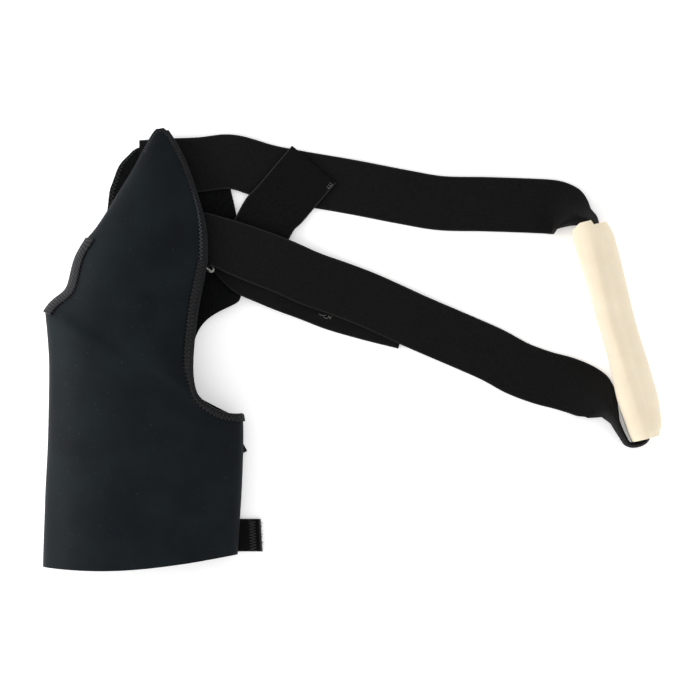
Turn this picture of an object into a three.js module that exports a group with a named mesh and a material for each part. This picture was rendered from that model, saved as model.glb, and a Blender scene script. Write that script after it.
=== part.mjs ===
// Shoulder brace lying flat: arm cuff with shoulder cap, chest strap and armpit pad.
// Millimetres, +Z up, +X towards the armpit pad, +Y towards the top of the shoulder.
// Across is measured from the hem's left corner along X, along is measured from it along Y.

import * as THREE from 'three';

// Sleeve of neoprene
const sleeveLength = 406;
const cuffWidth = 184;
const cuffHeight = 46;
const neoprene = 3.5;
const foldHeight = 14;
const capFoldRadius = 6;
const leftTopShare = 0.58;
const kneeTopShare = 0.385;
const rightTopShare = 0.347;
const hemRise = 13.8;
const hemBow = 4.5;
const hemLift = 2.4;
const kneeHemShare = 0.43;
const notchSag = 5.5;
const dartShare = 0.35;
const flapShare = 0.42;
const foldWidthLimit = 0.2;
const flapLeastRadii = 1.5;
const foldRound = 0.5;

// Elastic binding and edge band
const bindingThickness = 1;
const bindingReach = 7.5;
const edgeBandReach = 3;
const cornerReach = 0.6;
const slopeReach = 1.5;
const reachLimit = 0.16;
const bindingBulge = 1.2;
const bindingTurn = 60;
const bindingTrim = 0.12;
const bandWideReach = 6.5;
const bandNarrowRows = [9.5, 11.5];

// Back wing
const wingThickness = 3;
const wingCurl = 7;
const wingCurlFrom = 0.45;
const wingCells = 8;

// Chest strap, its ring and the tape that holds the ring
const strapWidth = 50;
const strapThickness = 2;
const loopReach = 346;
const wireRadius = 1.6;
const ringDepth = 8.6;
const ringLean = 12;
const ringPlace = [0.822, 0.7435];
const ringSlack = 5.5;
const ringCornerRadii = 1.1;
const ringInnerShare = 0.72;
const tapeShare = 0.8;
const turnBow = [0.001, -0.005];
const pileGap = 1;
const tapeThickness = 1.5;
const tapeReach = 16;
const tapeArcCells = 5;

// Hook and loop pieces
const hookTabWidth = 53;
const hookTabThickness = 1.8;
const cuffTabWidth = 30;
const cuffTabLength = 33;
const cuffTabThickness = 2.4;
const cuffTabTuck = 12;
const cuffTabRise = -1.2;
const cuffTabHeading = 3;
const cuffTabEndLift = 1.2;
const cuffTabSteps = [0, 0.3, 0.55, 0.8, 0.9, 1];
const patchSide = 22;
const patchThickness = 1.6;
const patchTuck = 10;
const patchRise = 9.5;
const patchHeading = 28.6;

// Armpit pad of foam
const padLength = 201;
const padWidth = 36;
const padHeight = 38;
const padTilt = 14.5;
const padFloor = 5.2;
const hollowWidth = 17.6;
const lipRise = 1.8;
const lipFrom = 100;
const lipTo = 210;
const padSides = 24;
const padSquareness = 0.85;
const hollowSquareness = 0.33;

// Where the strap's lower leg leaves the pad's side
const legShare = 0.805;
const legSide = -0.68;

// Fits
const clearance = 0.4;
const floorGap = 0.1;

const degrees = Math.PI / 180;

// Cuff rows from the hem to its top edge: shares of the cuff's width, and of its height for the crown
const cuffRows = [
  { rise: 0, left: 0.013, knee: 0.756, right: 0.971, crown: 0.68 },
  { rise: 0.14, left: 0.018, knee: 0.759, right: 0.977, crown: 0.69 },
  { rise: 0.28, left: 0.026, knee: 0.762, right: 0.983, crown: 0.69 },
  { rise: 0.42, left: 0.033, knee: 0.766, right: 0.988, crown: 0.69 },
  { rise: 0.56, left: 0.039, knee: 0.769, right: 0.992, crown: 0.7 },
  { rise: 0.7, left: 0.044, knee: 0.772, right: 0.995, crown: 0.7 },
  { rise: 0.84, left: 0.046, knee: 0.777, right: 0.998, crown: 0.7 },
  { rise: 0.955, left: 0.031, knee: 0.784, right: 0.998, crown: 0.7 },
  { rise: 1, left: 0.022, knee: 0.785, right: 0.993, crown: 0.7 },
];

// Cap rows from the cuff's top edge to the apex: shares of cuff width, sleeve length and cuff height
const capRows = [
  { left: [0.05, 0.5985], right: [0.759, 0.404], rightLift: 0.8, crown: 0.43, rightRound: 0.55 },
  { left: [0.092, 0.612], right: [0.746, 0.442], rightLift: 0.72, crown: 0.46, rightRound: 0.62 },
  { left: [0.124, 0.623], right: [0.748, 0.485], rightLift: 0.63, crown: 0.475, rightRound: 0.7 },
  { left: [0.143, 0.638], right: [0.757, 0.53], rightLift: 0.55, crown: 0.48, rightRound: 0.78 },
  { left: [0.154, 0.659], right: [0.768, 0.576], rightLift: 0.49, crown: 0.48, rightRound: 0.84 },
  { left: [0.165, 0.6825], right: [0.785, 0.621], rightLift: 0.45, crown: 0.47, rightRound: 0.88 },
  { left: [0.182, 0.708], right: [0.803, 0.658], rightLift: 0.42, crown: 0.45, rightRound: 0.9 },
  { left: [0.233, 0.744], right: [0.817, 0.693], rightLift: 0.405, crown: 0.42, rightRound: 0.9 },
  { left: [0.259, 0.757], right: [0.819, 0.729], rightLift: 0.4, crown: 0.385, rightRound: 0.9 },
  { left: [0.3, 0.783], right: [0.814, 0.766], rightLift: 0.4, crown: 0.345, rightRound: 0.9 },
  { left: [0.346, 0.816], right: [0.793, 0.8045], rightLift: 0.4, crown: 0.3, rightRound: 0.9 },
  { left: [0.389, 0.848], right: [0.763, 0.852], rightLift: 0.385, crown: 0.26, rightRound: 0.9 },
  { left: [0.431, 0.878], right: [0.738, 0.884], rightLift: 0.36, crown: 0.215, rightRound: 0.9 },
  { left: [0.471, 0.91], right: [0.711, 0.917], rightLift: 0.335, crown: 0.17, rightRound: 0.9 },
  { left: [0.508, 0.941], right: [0.68, 0.946], rightLift: 0.32, crown: 0.13, rightRound: 0.9 },
  { left: [0.541, 0.967], right: [0.646, 0.972], rightLift: 0.31, crown: 0.09, rightRound: 0.9 },
  { left: [0.56, 0.982], right: [0.622, 0.987], rightLift: 0.305, crown: 0.05, rightRound: 0.9 },
  { left: [0.577, 0.99], right: [0.604, 0.993], rightLift: 0.3, crown: 0.02, rightRound: 0.9 },
];

// Where the cap's fold and its edge band begin and end among the cap rows
const foldFirstRow = 8;
const foldLastRow = 15;
const bindingLastRow = 7;
const bandFirstRow = 7;
const bandLastRow = 16;

// Back wing rows from its top down: shares of sleeve length and cuff width, lift of the right edge
const wingRows = [
  { along: 0.954, left: 0.49, right: 0.8, lift: 0 },
  { along: 0.947, left: 0.455, right: 0.865, lift: 0 },
  { along: 0.936, left: 0.43, right: 0.9, lift: 0 },
  { along: 0.911, left: 0.38, right: 0.925, lift: 0 },
  { along: 0.875, left: 0.35, right: 0.935, lift: 0 },
  { along: 0.8565, left: 0.335, right: 0.94, lift: 0 },
  { along: 0.818, left: 0.325, right: 0.96, lift: 0 },
  { along: 0.777, left: 0.315, right: 0.975, lift: 0 },
  { along: 0.7206, left: 0.335, right: 0.985, lift: 0 },
  { along: 0.675, left: 0.365, right: 0.995, lift: 0 },
  { along: 0.638, left: 0.4, right: 1, lift: 0.1 },
  { along: 0.617, left: 0.43, right: 0.99, lift: 0.45 },
  { along: 0.598, left: 0.465, right: 0.961, lift: 0.9 },
  { along: 0.578, left: 0.535, right: 0.87, lift: 0.75 },
  { along: 0.557, left: 0.575, right: 0.808, lift: 0.4 },
  { along: 0.53, left: 0.625, right: 0.77, lift: 0.1 },
  { along: 0.505, left: 0.675, right: 0.75, lift: 0 },
];

// Chest strap, as shares of the way between two places: bow is the step to the left of that way,
// wing and pile how far it stands on the wing or on the wing and hook tab, level counts strap layers,
// heading is the way it runs and fold how far both halves turn down, in degrees
const upperStart = [0.485, 0.906];
const upperRun = [
  { run: 0, bow: 0.001, heading: 1, wing: 1, level: 0, fold: 0 },
  { run: 0.065, bow: 0.0135, heading: 1, wing: 1, level: 0, fold: 0 },
  { run: 0.1306, bow: 0.0245, heading: 4, wing: 1, level: 0, fold: 0 },
  { run: 0.185, bow: 0.038, heading: 1, wing: 1, level: 0, fold: 0 },
  { run: 0.212, bow: 0.0387, heading: -7, wing: 0.97, level: 0, fold: 0 },
  { run: 0.245, bow: 0.0335, heading: -15, wing: 0.55, level: 0, fold: 0 },
  { run: 0.275, bow: 0.0285, heading: -14, wing: 0.2, level: 0, fold: 0 },
  { run: 0.335, bow: 0.024, heading: -10, wing: 0, level: 0, fold: 0 },
  { run: 0.469, bow: 0.0182, heading: -11, wing: 0, level: 0, fold: 0 },
  { run: 0.581, bow: 0.011, heading: -11, wing: 0, level: 0, fold: 0 },
  { run: 0.666, bow: 0.0078, heading: -7, wing: 0, level: 0, fold: 0 },
  { run: 0.767, bow: 0.0183, heading: -2, wing: 0, level: 0, fold: 0 },
  { run: 0.872, bow: 0.028, heading: -2, wing: 0, level: 0.1, fold: 2 },
  { run: 0.912, bow: 0.0305, heading: -7, wing: 0, level: 0.3, fold: 5 },
  { run: 0.943, bow: 0.0265, heading: -30, wing: 0, level: 0.9, fold: 25 },
  { run: 0.966, bow: 0.0155, heading: -60, wing: 0, level: 2, fold: 56 },
];

// Inside the pad and round its lower mouth: shares of the pad's length and width, and of its floor
const padRun = [
  { share: -0.02, side: -0.045, heading: -75, onFloor: 1, fold: 72 },
  { share: 0.03, side: -0.02, heading: -75.5, onFloor: 1, fold: 78 },
  { share: 0.12, side: 0.01, heading: -75.5, onFloor: 1, fold: 80 },
  { share: 0.36, side: 0, heading: -75.5, onFloor: 1, fold: 80 },
  { share: 0.62, side: 0, heading: -75.5, onFloor: 1, fold: 80 },
  { share: 0.86, side: 0, heading: -75.5, onFloor: 1, fold: 82 },
  { share: 0.97, side: 0, heading: -77, onFloor: 1, fold: 85 },
  { share: 1.002, side: -0.012, heading: -90, onFloor: 1, fold: 89 },
  { share: 1.0175, side: -0.22, heading: -164, onFloor: 0.6, fold: 90 },
  { share: 1.008, side: -0.47, heading: -222, onFloor: 0.25, fold: 90 },
  { share: 0.965, side: -0.56, heading: -247, onFloor: 0, fold: 89 },
  { share: 0.895, side: -0.64, heading: -250, onFloor: 0, fold: 85 },
  { share: 0.845, side: -0.71, heading: -240, onFloor: 0, fold: 74 },
];

const lowerRun = [
  { run: 0.978, bow: 0.0055, heading: -214, pile: 0, level: 0, fold: 50 },
  { run: 0.94, bow: 0.006, heading: -201, pile: 0, level: 0, fold: 22 },
  { run: 0.89, bow: 0.0035, heading: -197, pile: 0, level: 0.1, fold: 5 },
  { run: 0.834, bow: -0.0035, heading: -199, pile: 0, level: 0, fold: 0 },
  { run: 0.774, bow: -0.005, heading: -204, pile: 0, level: 0, fold: 0 },
  { run: 0.712, bow: 0.002, heading: -204, pile: 0, level: 0, fold: 0 },
  { run: 0.6, bow: 0.005, heading: -203, pile: 0, level: 0, fold: 0 },
  { run: 0.545, bow: 0.006, heading: -203, pile: 0, level: 0.6, fold: 0 },
  { run: 0.505, bow: 0.007, heading: -203, pile: 0, level: 1.05, fold: 0 },
  { run: 0.45, bow: 0.0095, heading: -202, pile: 0, level: 1.05, fold: 0 },
  { run: 0.388, bow: 0.0115, heading: -202, pile: 0, level: 1.05, fold: 0 },
  { run: 0.314, bow: 0.0095, heading: -202, pile: 0.25, level: 1.3, fold: 0 },
  { run: 0.253, bow: 0.0065, heading: -203, pile: 0.65, level: 1.5, fold: 0 },
  { run: 0.186, bow: 0.0085, heading: -200, pile: 0.9, level: 1.6, fold: 0 },
  { run: 0.116, bow: 0.007, heading: -194, pile: 1, level: 2, fold: 0 },
  { run: 0.05, bow: 0.0042, heading: -181, pile: 1, level: 2.4, fold: 0 },
];
const returnRun = [
  { run: 0.045, bow: -0.018, heading: -179, pile: 1, level: 0, fold: 0 },
  { run: 0.095, bow: -0.028, heading: -188, pile: 1, level: 0, fold: 0 },
  { run: 0.15, bow: -0.0285, heading: -196, pile: 1, level: 0, fold: 0 },
  { run: 0.204, bow: -0.0285, heading: -199, pile: 0.92, level: 0, fold: 0 },
  { run: 0.26, bow: -0.0265, heading: -199, pile: 0.4, level: 0, fold: 0 },
  { run: 0.325, bow: -0.0255, heading: -198, pile: 0.05, level: 0, fold: 0 },
  { run: 0.41, bow: -0.0165, heading: -196, pile: 0, level: 0, fold: 0 },
  { run: 0.4955, bow: -0.0043, heading: -195, pile: 0, level: 0, fold: 0 },
];

// Hook tab from its free end down to the wing: shares of cuff width and sleeve length, then of the wing
const hookTabRows = [
  { at: [1.355, 0.9143], heading: -130.6, wing: 0.12 },
  { at: [1.275, 0.872], heading: -130.6, wing: 0.25 },
  { at: [1.195, 0.829], heading: -129, wing: 0.45 },
  { at: [1.14, 0.8035], heading: -124, wing: 0.45 },
  { at: [1.1, 0.772], heading: -119, wing: 0.38 },
  { at: [1.06, 0.732], heading: -113, wing: 0.36 },
  { at: [1.035, 0.693], heading: -106, wing: 0.36 },
];

// Pad sections: share of its length, then shares of its width, height and hollow, its side step, and
// how far its right side lies down the pad, as a share of the length
const padSections = [
  { share: 0, width: 1, height: 0.95, side: -0.02, hollow: 1.5, slant: 0.035 },
  { share: 0.02, width: 1.06, height: 1, side: -0.025, hollow: 1.42, slant: 0.035 },
  { share: 0.09, width: 1.08, height: 1, side: -0.02, hollow: 1.15, slant: 0.012 },
  { share: 0.16, width: 1.06, height: 1, side: -0.01, hollow: 1, slant: 0 },
  { share: 0.28, width: 1.02, height: 1, side: 0, hollow: 1, slant: 0 },
  { share: 0.42, width: 0.98, height: 0.98, side: -0.01, hollow: 1, slant: 0 },
  { share: 0.56, width: 0.95, height: 0.98, side: 0, hollow: 1, slant: 0 },
  { share: 0.7, width: 1, height: 1, side: 0.01, hollow: 1, slant: 0 },
  { share: 0.82, width: 1.05, height: 1, side: 0.03, hollow: 0.98, slant: 0 },
  { share: 0.93, width: 0.98, height: 1, side: 0.03, hollow: 0.94, slant: -0.01 },
  { share: 0.985, width: 0.9, height: 0.98, side: 0.03, hollow: 1.08, slant: -0.025 },
  { share: 1, width: 0.86, height: 0.95, side: 0.03, hollow: 1.24, slant: -0.035 },
];

function mix(from, to, share) {
  return from + (to - from) * share;
}

function place(across, along) {
  return new THREE.Vector2(cuffWidth * across, sleeveLength * along);
}

// A closed body from points and cells of three or four corners
function closedBody(points, cells) {
  const geometry = new THREE.BufferGeometry();
  const positions = points.flatMap((point) => point.toArray());
  const corners = cells.flatMap((cell) => {
    const [a, b, c, d] = cell;
    return d === undefined ? [a, b, c] : [a, b, c, a, c, d];
  });
  geometry.setAttribute('position', new THREE.Float32BufferAttribute(positions, 3));
  geometry.setIndex(corners);
  geometry.computeVertexNormals();
  return geometry;
}

function pointNormals(points, cells) {
  const normals = points.map(() => new THREE.Vector3());
  for (const cell of cells) {
    const last = cell[cell.length - 1];
    const first = points[cell[1]].clone().sub(points[cell[0]]);
    const second = points[last].clone().sub(points[cell[0]]);
    const third = points[cell[2]].clone().sub(points[cell[1]]);
    const facing = first.clone().cross(second).add(third.cross(second.clone().sub(first)));
    for (const corner of cell) normals[corner].add(facing);
  }
  return normals.map((normal) => normal.normalize());
}

// Gives a middle surface its wall: both faces along the point normals, and a rim round each open edge
function thicken(points, cells, thickness) {
  const normals = pointNormals(points, cells);
  const upper = points.map((point, i) => point.clone().addScaledVector(normals[i], thickness / 2));
  const lower = points.map((point, i) => point.clone().addScaledVector(normals[i], -thickness / 2));
  const count = points.length;
  const faces = cells.map((cell) => [...cell]);
  for (const cell of cells) faces.push(cell.map((corner) => corner + count).reverse());
  const edges = new Map();
  for (const cell of cells) {
    cell.forEach((from, i) => {
      const to = cell[(i + 1) % cell.length];
      edges.set(`${from},${to}`, [from, to]);
    });
  }
  for (const [from, to] of edges.values()) {
    if (!edges.has(`${to},${from}`)) faces.push([to, from, from + count, to + count]);
  }
  return closedBody([...upper, ...lower], faces);
}

// Cells between neighbouring rows of point numbers
function cellsBetween(rows) {
  const cells = [];
  for (let r = 0; r + 1 < rows.length; r += 1) {
    const width = Math.min(rows[r].length, rows[r + 1].length);
    for (let c = 0; c + 1 < width; c += 1) {
      cells.push([rows[r][c], rows[r][c + 1], rows[r + 1][c + 1], rows[r + 1][c]]);
    }
  }
  return cells;
}

function numbered(grid) {
  const points = grid.flat();
  let next = 0;
  const rows = grid.map((row) => row.map(() => next++));
  return { points, rows };
}

function sheetBody(grid, thickness) {
  const { points, rows } = numbered(grid);
  return thicken(points, cellsBetween(rows), thickness);
}

function mesh(name, geometry, material) {
  const piece = new THREE.Mesh(geometry, material);
  piece.name = name;
  return piece;
}

function cloth(colour, roughness) {
  return new THREE.MeshStandardMaterial({ color: colour, roughness, metalness: 0 });
}

const neopreneCloth = cloth('#1c2024', 0.85);
const bindingTape = cloth('#353536', 0.9);
const elasticWeb = cloth('#191919', 0.9);
const loopCloth = cloth('#17181a', 0.95);
const hookTape = cloth('#111111', 0.7);
const foam = cloth('#efe0c8', 0.95);
const steel = new THREE.MeshStandardMaterial({ color: '#9a9a98', roughness: 0.35, metalness: 1 });

// Sleeve: one middle surface whose rows go left to right over the near side and back underneath
const nearLeftCells = 12;
const nearRightCells = 5;
const arcCells = 3;
const farFlatCells = 5;
const tabRoom = cuffTabThickness + clearance + floorGap;

// Distances along the near side from the left edge to the knee column
function leftColumns(width) {
  const reach = Math.min(bindingReach, width * reachLimit);
  const inner = nearLeftCells - 3;
  const columns = [0, reach / 3];
  for (let k = 0; k <= inner; k += 1) columns.push(mix(reach, width - reach, k / inner));
  return [...columns, width];
}

function rightColumns(width) {
  const reach = Math.min(bindingReach, width * reachLimit);
  const columns = [];
  for (let k = 1; k < nearRightCells - 1; k += 1) {
    columns.push(((width - reach) * k) / (nearRightCells - 2));
  }
  columns.push(width - reach / 3, width);
  return columns;
}

// Height of the domed near side: round at the left fold, falling to the right edge
function domeShare(share, leftRound, rightRound) {
  if (share < dartShare) return (1 - (1 - share / dartShare) ** 2) ** leftRound;
  const fall = (share - dartShare) / (1 - dartShare);
  return Math.max(0, 1 - fall ** 2) ** rightRound;
}

function cuffCorners(row) {
  const left = new THREE.Vector2(
    cuffWidth * row.left,
    mix(hemLift, sleeveLength * leftTopShare, row.rise),
  );
  const kneeHem = mix(hemLift, hemRise, kneeHemShare);
  const knee = new THREE.Vector2(
    cuffWidth * row.knee,
    mix(kneeHem, sleeveLength * kneeTopShare, row.rise),
  );
  const right = new THREE.Vector2(
    cuffWidth * row.right,
    mix(hemRise, sleeveLength * rightTopShare, row.rise),
  );
  return { left, knee, right };
}

function cuffPlan(row, distance) {
  const { left, knee, right } = cuffCorners(row);
  const first = left.distanceTo(knee);
  const second = knee.distanceTo(right);
  if (distance <= first) {
    const share = distance / first;
    const plan = left.clone().lerp(knee, share);
    plan.y -= hemBow * (1 - row.rise) * Math.sin(Math.PI * share);
    return plan;
  }
  const share = Math.min(1, (distance - first) / second);
  const plan = knee.clone().lerp(right, share);
  plan.y -= notchSag * row.rise ** 4 * Math.sin(Math.PI * share);
  return plan;
}

// One closed loop of the cuff: near side from the left fold to the right fold, then the far side back
function cuffLoop(row) {
  const { left, knee, right } = cuffCorners(row);
  const first = left.distanceTo(knee);
  const total = first + knee.distanceTo(right);
  const distances = [...leftColumns(first), ...rightColumns(total - first).map((d) => d + first)];
  const near = distances.map((distance) => {
    const plan = cuffPlan(row, distance);
    const height = foldHeight + cuffHeight * row.crown * domeShare(distance / total, foldRound, foldRound);
    return new THREE.Vector3(plan.x, plan.y, height);
  });
  const far = [];
  const underRight = neoprene / 2 + tabRoom;
  const radiusRight = foldHeight - underRight;
  const radiusLeft = foldHeight - neoprene / 2;
  for (let k = 1; k <= arcCells; k += 1) {
    const turn = (Math.PI / 2) * (k / arcCells);
    const plan = cuffPlan(row, total - radiusRight * (1 - Math.cos(turn)));
    far.push(new THREE.Vector3(plan.x, plan.y, foldHeight - radiusRight * Math.sin(turn)));
  }
  for (let k = 1; k < farFlatCells; k += 1) {
    const share = k / farFlatCells;
    const plan = cuffPlan(row, mix(total - radiusRight, radiusLeft, share));
    const settle = THREE.MathUtils.smoothstep(share, 0, 0.5);
    far.push(new THREE.Vector3(plan.x, plan.y, mix(underRight, neoprene / 2, settle)));
  }
  for (let k = arcCells; k >= 1; k -= 1) {
    const turn = (Math.PI / 2) * (k / arcCells);
    const plan = cuffPlan(row, radiusLeft * (1 - Math.cos(turn)));
    far.push(new THREE.Vector3(plan.x, plan.y, foldHeight - radiusLeft * Math.sin(turn)));
  }
  return [...near, ...far];
}

// One open row of the cap from its left edge to its right edge
function capRow(row) {
  const left = place(...row.left);
  const right = place(...row.right);
  const width = left.distanceTo(right);
  return leftColumns(width).map((distance) => {
    const share = distance / width;
    const plan = left.clone().lerp(right, share);
    const base = mix(foldHeight, cuffHeight * row.rightLift, share);
    const height = base + cuffHeight * row.crown * domeShare(share, foldRound, row.rightRound);
    return new THREE.Vector3(plan.x, plan.y, height);
  });
}

// The cap's cloth that is folded under, beside one row, from the fold inwards
function flapRow(row) {
  const left = place(...row.left);
  const right = place(...row.right);
  const width = left.distanceTo(right);
  const radius = Math.min(capFoldRadius, width * foldWidthLimit);
  const reach = Math.max(width * flapShare, radius * flapLeastRadii);
  const distances = [];
  for (let k = 1; k <= arcCells; k += 1) {
    const turn = (Math.PI / 2) * (k / arcCells);
    distances.push([radius * (1 - Math.cos(turn)), foldHeight - radius * Math.sin(turn)]);
  }
  distances.push([mix(radius, reach, 0.5), foldHeight - radius]);
  distances.push([reach, foldHeight - radius]);
  return distances.map(([distance, height]) => {
    const plan = left.clone().lerp(right, distance / width);
    return new THREE.Vector3(plan.x, plan.y, height);
  });
}

function sleeveSurface() {
  const points = [];
  const number = (point) => points.push(point) - 1;
  const cuff = cuffRows.map((row) => cuffLoop(row).map(number));
  const closed = cuff.map((loop) => [...loop, loop[0]]);
  const cells = cellsBetween(closed);
  const knee = nearLeftCells;
  const top = cuff[cuff.length - 1];
  const cap = [top.slice(0, knee + 1), ...capRows.map((row) => capRow(row).map(number))];
  cells.push(...cellsBetween(cap));
  const flap = [];
  for (let r = foldFirstRow; r <= foldLastRow; r += 1) {
    flap.push([cap[r + 1][0], ...flapRow(capRows[r]).map(number)].reverse());
  }
  cells.push(...cellsBetween(flap));
  const normals = pointNormals(points, cells);
  return { points, cells, normals, cuff, cap, knee };
}

const sleeve = sleeveSurface();

// A strip folded round an open edge, its last row drawn back by the trim
function edgeFold(path, thickness, trim = 0) {
  const { points, normals } = sleeve;
  const offset = neoprene / 2 + clearance + thickness / 2;
  const grid = path.map(({ edge, inward, reach }) => {
    const rim = points[edge];
    const chain = inward.map((number) => ({ point: points[number], normal: normals[number] }));
    if (reach !== undefined) {
      const full = rim.distanceTo(chain[0].point);
      const share = Math.min(1, reach / full);
      chain[0] = {
        point: rim.clone().lerp(chain[0].point, share),
        normal: normals[edge].clone().lerp(chain[0].normal, share).normalize(),
      };
    }
    const outward = rim.clone().sub(chain[0].point).normalize();
    const normal = normals[edge];
    const inner = [...chain].reverse();
    const over = inner.map((link) => link.point.clone().addScaledVector(link.normal, offset));
    const under = chain.map((link) => link.point.clone().addScaledVector(link.normal, -offset));
    const slope = [-bindingTurn, 0, bindingTurn].map((angle) => rim.clone()
      .addScaledVector(outward, (clearance + thickness) * bindingBulge * Math.cos(angle * degrees))
      .addScaledVector(normal, -offset * Math.sin(angle * degrees)));
    const overRim = rim.clone().addScaledVector(normal, offset);
    const underRim = rim.clone().addScaledVector(normal, -offset);
    return [...over, overRim, ...slope, underRim, ...under];
  });
  const last = grid.length - 1;
  grid[last].forEach((point, i) => point.lerp(grid[last - 1][i], trim));
  return sheetBody(grid, thickness);
}

function leftBindingPath() {
  const path = [];
  for (let r = 0; r <= bindingLastRow + 1; r += 1) {
    path.push({ edge: sleeve.cap[r][0], inward: [sleeve.cap[r][1], sleeve.cap[r][2]] });
  }
  return path;
}

function rightBindingPath() {
  const { cuff, cap, knee } = sleeve;
  const last = knee + nearRightCells;
  const top = cuff[cuff.length - 1];
  const below = cuff[cuff.length - 2];
  const path = [];
  for (let c = last; c > knee; c -= 1) path.push({ edge: top[c], inward: [below[c]] });
  path.push({ edge: top[knee], inward: [below[knee - 1]], reach: bindingReach * cornerReach });
  for (let r = 1; r <= bindingLastRow + 1; r += 1) {
    const reach = bindingReach * (r === 1 ? cornerReach : slopeReach);
    path.push({ edge: cap[r][knee], inward: [cap[r][knee - 1]], reach });
  }
  return path;
}

function edgeBandPath() {
  const { cap, knee } = sleeve;
  const path = [];
  for (let r = bandFirstRow + 1; r <= bandLastRow + 1; r += 1) {
    const narrow = THREE.MathUtils.smoothstep(r, ...bandNarrowRows);
    const reach = mix(bandWideReach, edgeBandReach, narrow);
    path.push({ edge: cap[r][knee], inward: [cap[r][knee - 1]], reach });
  }
  return path;
}

// Back wing, flat on the surface, with a curled lower right edge
function wingGrid() {
  return wingRows.map((row) => {
    const points = [];
    for (let c = 0; c <= wingCells; c += 1) {
      const share = c / wingCells;
      const plan = place(mix(row.left, row.right, share), row.along);
      const lift = wingCurl * row.lift * THREE.MathUtils.smoothstep(share, wingCurlFrom, 1);
      points.push(new THREE.Vector3(plan.x, plan.y, floorGap + wingThickness / 2 + lift));
    }
    return points;
  }).reverse();
}

// Ring: bars across the strap, one under the cap's edge and one that the strap turns round
const ringAt = place(...ringPlace);
const turnRadius = wireRadius + clearance + strapThickness / 2;
const layer = strapThickness + clearance;
const strapFloor = floorGap + strapThickness / 2;
const wingRise = wingThickness + clearance;
const pileRise = wingRise + hookTabThickness + pileGap;
const ringHeight = strapFloor + pileRise + turnRadius;

// Half lengths of the ring's bar in the strap and of its shorter bar under the cap
const ringHalf = strapWidth / 2 + ringSlack + wireRadius;
const ringInnerHalf = ringHalf * ringInnerShare;

function ringGeometry() {
  const corner = wireRadius * ringCornerRadii;
  const sides = 8;
  const cornerSteps = 4;
  const drop = ringHalf - ringInnerHalf;
  const slant = 180 - Math.atan2(ringDepth, drop) / degrees;
  const corners = [
    [0, ringHalf, 0, slant],
    [-ringDepth, ringInnerHalf, slant, 180],
    [-ringDepth, -ringInnerHalf, 180, 360 - slant],
    [0, -ringHalf, 360 - slant, 360],
  ];
  const path = [];
  for (const [x, y, start, end] of corners) {
    const first = new THREE.Vector2(Math.cos(start * degrees), Math.sin(start * degrees));
    const second = new THREE.Vector2(Math.cos(end * degrees), Math.sin(end * degrees));
    const inset = corner / (1 + first.dot(second));
    const centre = new THREE.Vector2(x, y).addScaledVector(first.add(second), -inset);
    for (let k = 0; k <= cornerSteps; k += 1) {
      const turn = mix(start, end, k / cornerSteps) * degrees;
      const out = new THREE.Vector2(Math.cos(turn), Math.sin(turn));
      path.push({ at: centre.clone().addScaledVector(out, corner), out });
    }
  }
  const lean = ringLean * degrees;
  const rows = path.map(({ at, out }) => {
    const centre = at.clone().rotateAround(new THREE.Vector2(), lean).add(ringAt);
    const outward = out.clone().rotateAround(new THREE.Vector2(), lean);
    const section = [];
    for (let k = 0; k < sides; k += 1) {
      const turn = (2 * Math.PI * k) / sides;
      const reach = wireRadius * Math.cos(turn);
      section.push(new THREE.Vector3(
        centre.x + outward.x * reach,
        centre.y + outward.y * reach,
        ringHeight + wireRadius * Math.sin(turn),
      ));
    }
    return section;
  });
  const { points, rows: numbers } = numbered(rows);
  const loops = numbers.map((row) => [...row, row[0]]);
  loops.push(loops[0]);
  return closedBody(points, cellsBetween(loops).map((cell) => cell.reverse()));
}

// The strap's cross-section: flat, or creased along its middle with both halves turned down
const strapCells = 6;
const creaseEase = 0.88;
const uprightFold = 20;

function strapSection(centre, across, up, fold) {
  const step = strapWidth / strapCells;
  const half = strapCells / 2;
  const sides = [-1, 1].map((side) => {
    const chain = [];
    const at = centre.clone();
    for (let k = 1; k <= half; k += 1) {
      const turn = fold * degrees * (k === 1 ? creaseEase : 1);
      at.addScaledVector(across, side * step * Math.cos(turn)).addScaledVector(up, -step * Math.sin(turn));
      chain.push(at.clone());
    }
    return chain;
  });
  return [...sides[0].reverse(), centre.clone(), ...sides[1]];
}

// How far the strap's edges lie below its middle line when it is folded
function foldDepth(fold) {
  const half = strapCells / 2;
  const turned = Math.sin(fold * creaseEase * degrees) + (half - 1) * Math.sin(fold * degrees);
  return (strapWidth / strapCells) * turned;
}

const padTop = place(0.855, 0.775).add(new THREE.Vector2(loopReach, 0));
const padWay = new THREE.Vector2(Math.sin(padTilt * degrees), -Math.cos(padTilt * degrees));
const padSide = new THREE.Vector2(-padWay.y, padWay.x);

function padPlan(share, side) {
  return padTop.clone()
    .addScaledVector(padWay, padLength * share)
    .addScaledVector(padSide, padWidth * side);
}

// A point of a run between two places, with its bow to the left of the way
function runPlan(from, to, run, bow) {
  const way = to.clone().sub(from);
  const aside = new THREE.Vector2(-way.y, way.x);
  return from.clone().addScaledVector(way, run).addScaledVector(aside, bow);
}

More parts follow.
